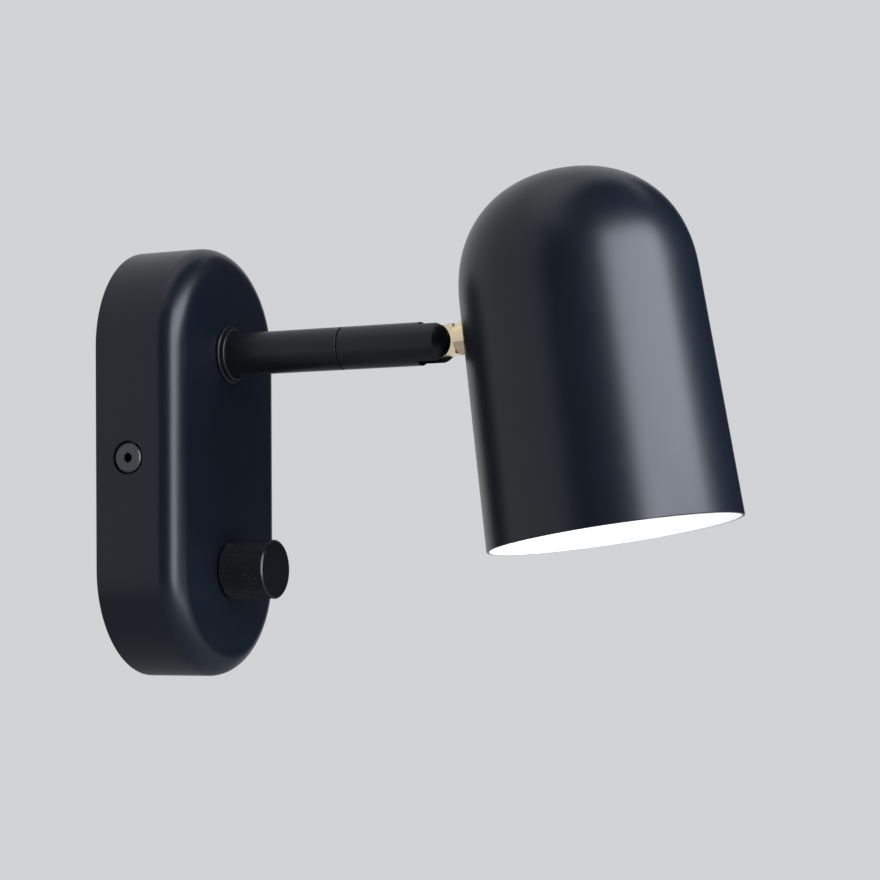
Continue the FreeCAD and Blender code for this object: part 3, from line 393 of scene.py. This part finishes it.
def socket_painted_shade(name, colour, face):
    """Blackened screws whose sockets, deeper than their outer faces, are painted near black with no gloss:
    painted shade.
    """
    material, tree, shader, where = new_material(name)
    parts = tree.nodes.new("ShaderNodeSeparateXYZ")
    tree.links.new(where, parts.inputs["Vector"])
    reach = tree.nodes.new("ShaderNodeMath")
    reach.operation = "ABSOLUTE"
    tree.links.new(parts.outputs["X"], reach.inputs[0])
    # painted shade: more than 0.9 mm below the outer face, the socket is painted near black with no gloss
    outer = tree.nodes.new("ShaderNodeMapRange")
    outer.inputs["From Min"].default_value = face - 0.9 * MM
    outer.inputs["From Max"].default_value = face - 0.5 * MM
    tree.links.new(reach.outputs[0], outer.inputs["Value"])
    lit = outer.outputs["Result"]
    tree.links.new(tone(tree, lit, (0.001, 0.001, 0.001), colour), shader.inputs["Base Color"])
    tree.links.new(spread(tree, lit, 0.0, 0.5), shader.inputs["Specular IOR Level"])
    fine = noise(tree, where, 900.0, 3.0)
    tree.links.new(spread(tree, fine, 0.26, 0.38), shader.inputs["Roughness"])
    bump(tree, shader, fine, 0.01 * MM, 0.3)
    return material


def braided(name, colour):
    """Fibre sleeve of the inner leads: crossed fine bands."""
    material, tree, shader, where = new_material(name)
    wave = tree.nodes.new("ShaderNodeTexWave")
    wave.bands_direction = "DIAGONAL"
    wave.inputs["Scale"].default_value = 900.0
    wave.inputs["Distortion"].default_value = 1.5
    tree.links.new(where, wave.inputs["Vector"])
    uneven(tree, shader, wave.outputs["Fac"], colour, 0.8, 1.0)
    shader.inputs["Roughness"].default_value = 0.75
    bump(tree, shader, wave.outputs["Fac"], 0.06 * MM, 0.6)
    return material


def lit_lens(name, strength):
    """Frosted lens of the lamp, lit from behind, a little stronger at the middle of each facet."""
    material, tree, shader, where = new_material(name)
    cells = tree.nodes.new("ShaderNodeTexVoronoi")
    cells.inputs["Scale"].default_value = 420.0
    tree.links.new(where, cells.inputs["Vector"])
    shader.inputs["Base Color"].default_value = (0.9, 0.9, 0.88, 1)
    shader.inputs["Roughness"].default_value = 0.3
    shader.inputs["Emission Color"].default_value = (1.0, 0.97, 0.93, 1)
    tree.links.new(spread(tree, cells.outputs["Distance"], strength, strength * 0.8),
                   shader.inputs["Emission Strength"])
    bump(tree, shader, cells.outputs["Distance"], 0.15 * MM, 0.5)
    return material


# ---------------------------------------------------------------- housing
def pill_outline(bm, half_width, half_height, y):
    """Closed outline in the plane y: two half circles spun from a point each, joined by straight sides."""
    reach = half_height - half_width
    for side in (1, -1):
        vert = bm.verts.new((side * half_width, y, side * reach))
        bmesh.ops.spin(bm, geom=[vert], cent=(0, y, side * reach), axis=(0, -1, 0), angle=math.pi, steps=48)
    bmesh.ops.remove_doubles(bm, verts=bm.verts, dist=1e-7)
    for sign in (1, -1):
        ends = [v for v in bm.verts if len(v.link_edges) == 1 and v.co.x * sign > 0]
        edge = bm.edges.new(sorted(ends, key=lambda v: v.co.z))
        bmesh.ops.subdivide_edges(bm, edges=[edge], cuts=8)


class LAMP_OT_housing(bpy.types.Operator):
    """Builds the pill-shaped housing with its rounded front edge and side counterbores"""
    bl_idname = "lamp.housing"
    bl_label = "Housing"

    def execute(self, context):
        s = settings("lamp_housing")
        half_width = HOUSING_HIGH.x
        half_height = HOUSING_HIGH.z
        depth = -HOUSING_LOW.y
        bm = bmesh.new()
        pill_outline(bm, half_width, half_height, 0)
        made = bmesh.ops.extrude_edge_only(bm, edges=bm.edges[:])
        front = [g for g in made["geom"] if isinstance(g, bmesh.types.BMVert)]
        bmesh.ops.translate(bm, vec=(0, -depth, 0), verts=front)
        rim = [e for e in bm.edges if all(abs(v.co.y + depth) < 1e-7 for v in e.verts)]
        bmesh.ops.contextual_create(bm, geom=rim)
        bmesh.ops.recalc_face_normals(bm, faces=bm.faces)
        bmesh.ops.bevel(bm, geom=rim, offset=s.edge, offset_type="OFFSET", segments=14, profile=0.5,
                        material=-1, affect="EDGES")
        obj = link("housing_shell", mesh_from("housing_shell", bm))
        face_out(obj, Vector((0, -depth / 2, 0)))
        shell = obj.modifiers.new("wall", "SOLIDIFY")
        shell.thickness = s.wall
        shell.offset = -1
        shell.use_even_offset = True
        apply_modifiers(obj)
        screw_y = (SCREWS_LOW.y + SCREWS_HIGH.y) / 2
        cutters = []
        for side in (-1, 1):
            outside = Vector((side * (half_width + MM), screw_y, 0))
            floor = Vector((side * (half_width - s.sink_depth), screw_y, 0))
            inner = Vector((side * (half_width - s.wall - BOSS_REACH), screw_y, 0))
            root = Vector((side * (half_width - s.wall / 2), screw_y, 0))
            carve(obj, [cylinder_cutter("boss", inner, root, BOSS_RADIUS)], "UNION")
            cutters.append(cylinder_cutter("sink", outside, floor, s.sink_radius))
            past = Vector((inner.x * 0.9, screw_y, 0))
            cutters.append(cylinder_cutter("hole", outside, past, SCREW_HOLE_RADIUS))
        start, end = -depth - MM, -depth + FRONT_HOLE_DEPTH
        for name, z, radius in (("arm_hole", ARM_Z, ARM_HOLE_RADIUS),
                                ("dimmer_hole", KNOB_Z, DIMMER_HOLE_RADIUS)):
            cutters.append(cylinder_cutter(name, (0, start, z), (0, end, z), radius))
        carve(obj, cutters)
        bevel(obj, 0.25 * MM, 2, 50)
        settle(obj, 32)
        obj.data.materials.append(satin_paint("housing_powder_coat", s.colour, 0.32, 0.37))
        place(obj, "base", "housing_paint", "wall_housing")
        return {"FINISHED"}


# ---------------------------------------------------------------- arm
class LAMP_OT_arm(bpy.types.Operator):
    """Builds the stepped collar and both halves of the arm"""
    bl_idname = "lamp.arm"
    bl_label = "Arm"

    def execute(self, context):
        s = settings("lamp_arm")
        paint = satin_paint("arm_powder_coat", s.colour, 0.33, 0.4)
        axis = (0, -1, 0)
        centre = Vector((0, 0, ARM_Z))

        # fixed half
        start, end = -TUBE_HIGH.y, -TUBE_LOW.y
        bush = end - BUSH_LENGTH
        profile = [(start, TUBE_BORE), (start, ARM_RADIUS), (end, ARM_RADIUS), (end, BUSH_BORE),
                   (bush, BUSH_BORE), (bush, TUBE_BORE)]
        bm = spun(profile + profile[:1], centre, axis)
        obj = link("arm_fixed_tube", mesh_from("arm_fixed_tube", bm))
        bevel(obj, 0.35 * MM, 3, 60)
        settle(obj)
        obj.data.materials.append(paint)
        place(obj, "base", "arm_paint", "arm_inner_tube")

        # stepped collar
        low, high = -COLLAR_HIGH.y, -COLLAR_LOW.y
        base = COLLAR_HIGH.z - ARM_Z
        step = low + COLLAR_STEP
        upper = base - COLLAR_STEP_HEIGHT
        profile = [(low, TUBE_BORE), (low, base - 0.7 * MM), (low + 0.3 * MM, base - 0.05 * MM),
                   (low + 0.6 * MM, base), (step - 0.25 * MM, base - 0.15 * MM), (step, base - 0.6 * MM),
                   (step, upper - 0.4 * MM), (step + 0.2 * MM, upper), (high - 0.5 * MM, upper),
                   (high - 0.1 * MM, upper - 0.3 * MM), (high, upper - 0.8 * MM), (high, TUBE_BORE)]
        bm = spun(profile + profile[:1], centre, axis)
        obj = link("arm_collar_ring", mesh_from("arm_collar_ring", bm))
        bevel(obj, 0.3 * MM, 4, 25)
        settle(obj, 40)
        obj.data.materials.append(paint)
        place(obj, "base", "arm_paint", "arm_collar")

        # turning half with its slotted end, whose dome leans in a little where it starts
        start = -FORK_HIGH.y
        pivot_out = -PIVOT.y
        profile = [(start, 0), (start, ARM_RADIUS - 0.35 * MM), (start + 0.12 * MM, ARM_RADIUS - 0.1 * MM),
                   (start + 0.35 * MM, ARM_RADIUS)]
        tip = pivot_out + ARM_RADIUS
        dome = ARM_RADIUS / math.cos(DOME_LEAN)
        for step in range(25):
            angle = DOME_LEAN + (math.pi / 2 - DOME_LEAN) * step / 24
            profile.append((tip - dome + dome * math.sin(angle), dome * math.cos(angle)))
        bm = spun(profile, centre, axis)
        obj = link("arm_fork_end", mesh_from("arm_fork_end", bm))
        half_slot = s.slot_width / 2
        root = -(pivot_out - s.slot_behind)
        past = -(pivot_out + 2 * ARM_RADIUS)
        cutters = [box_cutter("slot", (-half_slot, past, ARM_Z - 0.03), (half_slot, root, ARM_Z + 0.03))]
        for name, first, last, radius in (("pin", PIN_START, PIN_END, PIN_RADIUS),
                                          ("head", PIN_HEAD_START, PIN_END, PIN_HEAD_RADIUS)):
            ends = [(x, PIVOT.y, ARM_Z) for x in (first, last)]
            cutters.append(cylinder_cutter(name, *ends, radius, segments=48))
        for name, stop, radius, segments in (("wire", -(pivot_out - WIRE_STOP), WIRE_BORE, 48),
                                             ("socket", -start - SPINDLE_DEPTH, SPINDLE_BORE, 64)):
            ends = [(0, y, ARM_Z) for y in (-start + MM, stop)]
            cutters.append(cylinder_cutter(name, *ends, radius, segments=segments))
        carve(obj, cutters)
        bevel(obj, 0.18 * MM, 3, 50)
        settle(obj, 9)
        obj.data.materials.append(paint)
        place(obj, "arm", "arm_paint", "arm_fork")
        return {"FINISHED"}


# ---------------------------------------------------------------- brass hinge
class LAMP_OT_hinge(bpy.types.Operator):
    """Gives the tongue and its saddle washer, which keep their CAD shape, their brass finish"""
    bl_idname = "lamp.hinge"
    bl_label = "Brass hinge"

    def execute(self, context):
        brass = brushed_brass("turned_brass", settings("lamp_arm").brass, 0.17)
        for node in ("hinge_tongue", "saddle_washer"):
            refinish(node, brass)
        return {"FINISHED"}


# ---------------------------------------------------------------- shade
def skirt_flare(s):
    return (s.mouth_radius - s.dome_radius) / (s.length - s.dome_height)


def shade_matrix(s):
    """Takes the shade's own frame, with its apex at the origin, to its place on the lamp."""
    flare = skirt_flare(s)
    lean = math.atan(flare)
    wall_y = s.dome_radius + flare * (s.hinge_drop - s.dome_height)
    pivot_z = -s.hinge_drop + s.hinge_reach * math.sin(lean)
    pivot = Vector((0, wall_y + s.hinge_reach * math.cos(lean), pivot_z))
    turn = Matrix.Rotation(-s.tilt, 4, "X")
    return Matrix.Translation(PIVOT - turn @ pivot) @ turn


def dome_points(s, steps=40):
    """(level below the apex, radius) down the dome and the skirt."""
    flare = skirt_flare(s)
    points = []
    power = 2 / s.fullness
    for step in range(steps + 1):
        angle = math.pi / 2 * (step / steps)
        level = s.dome_height * (1 - math.cos(angle) ** power)
        own = (s.dome_radius - flare * s.dome_height) * math.sin(angle) ** power
        points.append((level, own + flare * level))
    for step in range(1, 13):
        level = s.dome_height + (s.length - s.dome_height) * step / 12
        points.append((level, s.dome_radius + flare * (level - s.dome_height)))
    return points


class LAMP_OT_shade(bpy.types.Operator):
    """Builds the domed shade, black outside and white inside"""
    bl_idname = "lamp.shade"
    bl_label = "Shade"

    def execute(self, context):
        s = settings("lamp_shade")
        matrix = shade_matrix(s)
        bm = spun([(-level, radius) for level, radius in dome_points(s)], (0, 0, 0), (0, 0, 1), steps=160)
        bmesh.ops.transform(bm, matrix=matrix, verts=bm.verts)
        obj = link("shade_shell", mesh_from("shade_shell", bm))
        face_out(obj, matrix @ Vector((0, 0, -s.length / 2)))
        obj.data.materials.append(satin_paint("shade_powder_coat", s.colour, 0.31, 0.42))
        obj.data.materials.append(moulded("shade_white_inside", s.inside, 0.55, 1800.0, 0.01, 0.3))
        wall = obj.modifiers.new("wall", "SOLIDIFY")
        wall.thickness = s.wall
        wall.offset = -1
        wall.use_even_offset = True
        wall.material_offset = 1
        wall.material_offset_rim = 0
        bevel(obj, 0.35 * MM, 3, 50)
        settle(obj, 40)
        place(obj, "head", "shade_paint", "shade")
        return {"FINISHED"}


# ---------------------------------------------------------------- knob
class LAMP_OT_knob(bpy.types.Operator):
    """Builds the knurled dimmer knob with its bright front chamfer"""
    bl_idname = "lamp.knob"
    bl_label = "Dimmer knob"

    def execute(self, context):
        s = settings("lamp_knob")
        axis = (0, -1, 0)
        centre = Vector((0, 0, KNOB_Z))
        back, front = -KNOB_HIGH.y, -KNOB_LOW.y
        radius = KNOB_HIGH.z - KNOB_Z
        first = back + 0.25 * MM
        last = front - s.chamfer - 0.05 * MM
        count = 2 * s.diamonds
        rings = 2 * s.rows
        crest = radius - 0.03 * MM
        valley = crest - s.depth
        knurl = [(first + (last - first) * step / rings, crest) for step in range(rings + 1)]
        knurl_bm = spun(knurl, centre, axis, steps=count)
        pitch = (last - first) / rings
        peaks = set()
        for vert in knurl_bm.verts:
            row = round((-vert.co.y - first) / pitch)
            angle = math.atan2(vert.co.x, vert.co.z - KNOB_Z)
            column = round(angle / (2 * math.pi) * count)
            inner = 0 < row < rings
            if (row + column) % 2 and inner:
                peaks.add(vert)
            else:
                vert.co.x *= valley / crest
                vert.co.z = KNOB_Z + (vert.co.z - KNOB_Z) * valley / crest
        for face in list(knurl_bm.faces):
            valleys = [v for v in face.verts if v not in peaks]
            if len(valleys) == 2 and len(face.verts) == 4:
                bmesh.utils.face_split(face, valleys[0], valleys[1])
        cap = [(last, valley), (front - s.chamfer, radius), (front, radius - s.chamfer), (front, 0)]
        recess = back + KNOB_RECESS_DEPTH
        rear = [(first, valley), (back, valley - 0.2 * MM), (back, KNOB_RECESS_RADIUS),
                (recess, KNOB_RECESS_RADIUS), (recess, SHAFT_BORE)]
        mesh = bpy.data.meshes.new("part")
        for profile in (cap, rear):
            part = spun(profile, centre, axis, steps=count)
            part.to_mesh(mesh)
            part.free()
            knurl_bm.from_mesh(mesh)
        bpy.data.meshes.remove(mesh)
        obj = link("knurled_knob", mesh_from("knurled_knob", knurl_bm))
        face_out(obj, Vector((0, -(back + front) / 2, KNOB_Z)))
        obj.data.shade_smooth()
        obj.data.set_sharp_from_angle(angle=math.radians(14))
        obj.data.materials.append(knob_finish("knob_black", s.colour))
        place(obj, "knob", "knob_black", "dimmer_knob")
        return {"FINISHED"}


def knob_finish(name, colour):
    """Black plated metal with faint turning rings on its front."""
    material, tree, shader, where = new_material(name)
    mapping = tree.nodes.new("ShaderNodeMapping")
    mapping.inputs["Location"].default_value = (0, 0, -KNOB_Z)
    mapping.inputs["Scale"].default_value = (1, 0, 1)
    tree.links.new(where, mapping.inputs["Vector"])
    rings = tree.nodes.new("ShaderNodeTexWave")
    rings.wave_type = "RINGS"
    rings.rings_direction = "SPHERICAL"
    rings.inputs["Scale"].default_value = 700.0
    tree.links.new(mapping.outputs["Vector"], rings.inputs["Vector"])
    uneven(tree, shader, noise(tree, where, 160.0, 2.0), colour, 0.85, 1.2)
    shader.inputs["Metallic"].default_value = 0.0
    shader.inputs["Specular IOR Level"].default_value = 0.5
    tree.links.new(spread(tree, noise(tree, where, 900.0), 0.26, 0.36), shader.inputs["Roughness"])
    bump(tree, shader, rings.outputs["Fac"], 0.004 * MM, 0.25)
    return material


# ---------------------------------------------------------------- carried-over pieces
class LAMP_OT_fittings(bpy.types.Operator):
    """Gives each fitting that keeps its CAD shape its own finish"""
    bl_idname = "lamp.fittings"
    bl_label = "Fittings"

    def execute(self, context):
        zinc = plain_metal("zinc_plate", (0.55, 0.56, 0.57), 0.34)
        bearing = plain_metal("bearing_brass", (0.62, 0.47, 0.24), 0.3)
        black = plain_metal("black_oxide", BLACK, 0.3, metallic=0.0)
        socket_shade_finish = socket_painted_shade("side_screw_painted_socket_shade", BLACK, SCREWS_HIGH.x)
        nylon = moulded("black_nylon", (0.01, 0.01, 0.011), 0.5)
        dark = moulded("dark_moulding", (0.04, 0.04, 0.043), 0.5)
        white = moulded("white_moulding", (0.7, 0.7, 0.66), 0.45)
        rubber = moulded("grommet_rubber", (0.018, 0.018, 0.019), 0.7, 900.0, 0.05)
        ceramic = moulded("glazed_ceramic", (0.78, 0.76, 0.7), 0.2, 300.0, 0.01, 0.6)
        lamp_white = moulded("lamp_white", (0.8, 0.8, 0.77), 0.28, 400.0, 0.008, 0.5)
        nickel = plain_metal("pin_nickel", (0.6, 0.58, 0.54), 0.25)
        sleeve = braided("lead_sleeve", (0.62, 0.6, 0.55))
        lit = lit_lens("lit_frosted_lens", settings("lamp_shade").glow)
        finishes = (
            (zinc, ("wall_bracket", "terminal_screws", "terminal_fixing_screws", "dimmer_washer",
                    "dimmer_nut", "dimmer_shaft", "arm_nipple", "arm_lock_washer", "arm_lock_nut",
                    "swivel_spindle", "swivel_stop_pin", "swivel_spring_washer", "swivel_retaining_ring",
                    "shade_lock_washer", "shade_lock_nut", "holder_carrier", "holder_screws")),
            (bearing, ("swivel_bush", "earth_screw")), (socket_shade_finish, ("housing_screws",)),
            (black, ("hinge_screw", "knob_grub_screw")), (nylon, ("swivel_washer", "hinge_washers")),
            (dark, ("dimmer_module",)), (white, ("terminal_block",)), (rubber, ("cable_grommet",)),
            (ceramic, ("lamp_holder",)), (lamp_white, ("lamp_body",)), (nickel, ("lamp_pins",)),
            (sleeve, ("supply_lead", "dimmer_lead", "head_lead")), (lit, ("lamp_lens",)),
        )
        for finish, nodes in finishes:
            for node in nodes:
                refinish(node, finish)
        return {"FINISHED"}


# ---------------------------------------------------------------- stage
# The photograph's camera, fitted to its edges: angles, place in metres, then pixels and a sensor in mm
VIEW_AZIMUTH = math.radians(-66.239)
VIEW_ROLL = math.radians(-0.229)
VIEW_PLACE = (-0.7038, -0.4290, -0.0538)
PHOTO_SIDE = 880
FOCAL_PIXELS = 2147.0
HORIZON_PIXEL = 605.34
SENSOR = 36
TOWARD_CAMERA = Vector((math.sin(VIEW_AZIMUTH), -math.cos(VIEW_AZIMUTH), 0))

# What the lights and cards face, and the floor's size, in metres
MIDDLE = Vector((0, -0.105, 0.01))
FLOOR_RADIUS = 1.3
FLOOR_MIDDLE = -0.1


def direction(turn, rise):
    """A direction from the lamp, turned to the camera's right and raised, in degrees."""
    level = Matrix.Rotation(math.radians(turn), 3, "Z") @ TOWARD_CAMERA
    angle = math.radians(rise)
    return (level * math.cos(angle) + Vector((0, 0, math.sin(angle)))).normalized()


def soft_light(name, turn, rise, distance, width, height, power, colour):
    """A rectangular light that faces the lamp."""
    data = bpy.data.lights.new(name, "AREA")
    data.shape = "RECTANGLE"
    data.size = width
    data.size_y = height
    data.energy = power
    data.color = colour
    obj = bpy.data.objects.new(name, data)
    bpy.context.scene.collection.objects.link(obj)
    toward = direction(turn, rise)
    obj.location = MIDDLE + toward * distance
    obj.rotation_mode = "QUATERNION"
    obj.rotation_quaternion = toward.to_track_quat("Z", "Y")


def dark_card(name, turn, rise, distance, width, height, grey=0.002):
    """A dark card that only glossy surfaces see."""
    bm = bmesh.new()
    bmesh.ops.create_grid(bm, x_segments=1, y_segments=1, size=0.5)
    bmesh.ops.scale(bm, vec=(width, height, 1), verts=bm.verts)
    toward = direction(turn, rise)
    facing = toward.to_track_quat("Z", "Y").to_matrix().to_4x4()
    bmesh.ops.transform(bm, matrix=Matrix.Translation(MIDDLE + toward * distance) @ facing, verts=bm.verts)
    card = link(name, mesh_from(name, bm))
    card.visible_camera = False
    card.visible_diffuse = False
    card.visible_shadow = False
    card.visible_transmission = False
    card.data.materials.append(moulded("dark_card", (grey, grey, grey), 0.95, 50.0, 0.1, 0.0))


def backdrop_world(colour, strength):
    """Pale to the camera, to gloss and through glass; a plain soft light for the rest."""
    world = bpy.data.worlds.new("pale_studio")
    world.use_nodes = True
    bpy.context.scene.world = world
    tree = world.node_tree
    tree.nodes.clear()
    path = tree.nodes.new("ShaderNodeLightPath")
    seen = path.outputs["Is Camera Ray"]
    for ray in ("Is Glossy Ray", "Is Transmission Ray"):
        either = tree.nodes.new("ShaderNodeMath")
        either.operation = "MAXIMUM"
        tree.links.new(seen, either.inputs[0])
        tree.links.new(path.outputs[ray], either.inputs[1])
        seen = either.outputs[0]
    mix = tree.nodes.new("ShaderNodeMixShader")
    tree.links.new(seen, mix.inputs["Fac"])
    for slot, tint, power in ((1, (0.95, 0.97, 1.0), strength), (2, colour, 1.0)):
        light = tree.nodes.new("ShaderNodeBackground")
        light.inputs["Color"].default_value = (*tint, 1)
        light.inputs["Strength"].default_value = power
        tree.links.new(light.outputs[0], mix.inputs[slot])
    out = tree.nodes.new("ShaderNodeOutputWorld")
    tree.links.new(mix.outputs[0], out.inputs["Surface"])


class LAMP_OT_stage(bpy.types.Operator):
    """Sets the pale floor and backdrop, the soft lights and the camera"""
    bl_idname = "lamp.stage"
    bl_label = "Stage"

    def execute(self, context):
        s = settings("lamp_stage")
        backdrop_world(s.backdrop, s.ambient)

        # floor with a soft edge that runs out into the backdrop
        bm = bmesh.new()
        bmesh.ops.create_circle(bm, cap_ends=True, segments=96, radius=FLOOR_RADIUS)
        bmesh.ops.translate(bm, vec=(0, FLOOR_MIDDLE, s.floor_level), verts=bm.verts)
        floor = link("studio_floor", mesh_from("studio_floor", bm))
        floor.data.materials.append(floor_material("pale_floor", s.backdrop))

        # turn and rise in degrees, then distance, width and height in metres
        soft_light("key_light", 54, 2, 1.3, 1.56, 2.2, s.key, (0.82, 0.875, 1.0))
        soft_light("top_light", -30, 78, 1.4, 1.2, 1.2, s.top, (1, 1, 1))
        dark_card("card_by_camera", -9, 0, 1.15, 1.27, 2.4)
        dark_card("card_behind_right", 128, 0, 1.15, 1.3, 2.4)
        dark_card("card_low_right", 66, -4, 1.1, 0.8, 0.5)
        dark_card("card_above", 55, 66, 1.3, 1.8, 1.1)
        dark_card("card_below", 0, -90, 0.3, 1.3, 1.3, 0.3)

        camera = bpy.data.cameras.new("photo_camera")
        camera.lens = FOCAL_PIXELS / PHOTO_SIDE * SENSOR
        camera.sensor_width = SENSOR
        camera.shift_y = (HORIZON_PIXEL - PHOTO_SIDE / 2) / PHOTO_SIDE
        camera.clip_start = 0.01
        camera.clip_end = 20
        obj = bpy.data.objects.new("photo_camera", camera)
        context.scene.collection.objects.link(obj)
        obj.location = VIEW_PLACE
        obj.rotation_mode = "QUATERNION"
        level = TOWARD_CAMERA.to_track_quat("Z", "Y")
        obj.rotation_quaternion = level @ Matrix.Rotation(VIEW_ROLL, 3, "Z").to_quaternion()
        context.scene.camera = obj
        context.scene.view_settings.view_transform = "Standard"
        return {"FINISHED"}


def floor_material(name, colour):
    """Pale matt floor whose far edge fades into the backdrop."""
    material, tree, shader, where = new_material(name)
    shader.inputs["Base Color"].default_value = (*colour, 1)
    shader.inputs["Roughness"].default_value = 0.9
    shader.inputs["Specular IOR Level"].default_value = 0.1
    mapping = tree.nodes.new("ShaderNodeMapping")
    mapping.inputs["Location"].default_value = (0, -FLOOR_MIDDLE, 0)
    mapping.inputs["Scale"].default_value = (1, 1, 0)
    tree.links.new(where, mapping.inputs["Vector"])
    length = tree.nodes.new("ShaderNodeVectorMath")
    length.operation = "LENGTH"
    tree.links.new(mapping.outputs["Vector"], length.inputs[0])
    fade = tree.nodes.new("ShaderNodeMapRange")
    fade.interpolation_type = "SMOOTHSTEP"
    fade.inputs["From Min"].default_value = 0.3
    fade.inputs["From Max"].default_value = 1.2
    fade.inputs["To Min"].default_value = 1.0
    fade.inputs["To Max"].default_value = 0.0
    tree.links.new(length.outputs["Value"], fade.inputs["Value"])
    clear = tree.nodes.new("ShaderNodeBsdfTransparent")
    mix = tree.nodes.new("ShaderNodeMixShader")
    out = tree.nodes["Material Output"]
    tree.links.new(fade.outputs["Result"], mix.inputs["Fac"])
    tree.links.new(clear.outputs[0], mix.inputs[1])
    tree.links.new(shader.outputs[0], mix.inputs[2])
    tree.links.new(mix.outputs[0], out.inputs["Surface"])
    return material


# ---------------------------------------------------------------- panel and registration
OPERATORS = (LAMP_OT_housing, LAMP_OT_arm, LAMP_OT_hinge, LAMP_OT_shade, LAMP_OT_knob, LAMP_OT_fittings,
             LAMP_OT_stage)
GROUPS = {
    "lamp_housing": LampHousingSettings,
    "lamp_arm": LampArmSettings,
    "lamp_shade": LampShadeSettings,
    "lamp_knob": LampKnobSettings,
    "lamp_stage": LampStageSettings,
}


class LAMP_PT_panel(bpy.types.Panel):
    """Lists the lamp's sizes, colours and building steps"""
    bl_label = "Reading lamp"
    bl_idname = "LAMP_PT_panel"
    bl_space_type = "VIEW_3D"
    bl_region_type = "UI"
    bl_category = "Reading Lamp"

    def draw(self, context):
        for operator in OPERATORS:
            self.layout.operator(operator.bl_idname)
        for name, group in GROUPS.items():
            box = self.layout.box()
            for field in group.__annotations__:
                box.prop(getattr(context.scene, name), field)


def register():
    for group in GROUPS.values():
        bpy.utils.register_class(group)
    for name, group in GROUPS.items():
        setattr(bpy.types.Scene, name, PointerProperty(type=group))
    for operator in OPERATORS:
        bpy.utils.register_class(operator)
    bpy.utils.register_class(LAMP_PT_panel)


def unregister():
    bpy.utils.unregister_class(LAMP_PT_panel)
    for operator in reversed(OPERATORS):
        bpy.utils.unregister_class(operator)
    for name in GROUPS:
        delattr(bpy.types.Scene, name)
    for group in reversed(list(GROUPS.values())):
        bpy.utils.unregister_class(group)


def main():
    register()
    bpy.ops.lamp.housing()
    bpy.ops.lamp.arm()
    bpy.ops.lamp.hinge()
    bpy.ops.lamp.shade()
    bpy.ops.lamp.knob()
    bpy.ops.lamp.fittings()
    bpy.ops.lamp.stage()


if __name__ == "__main__":
    main()
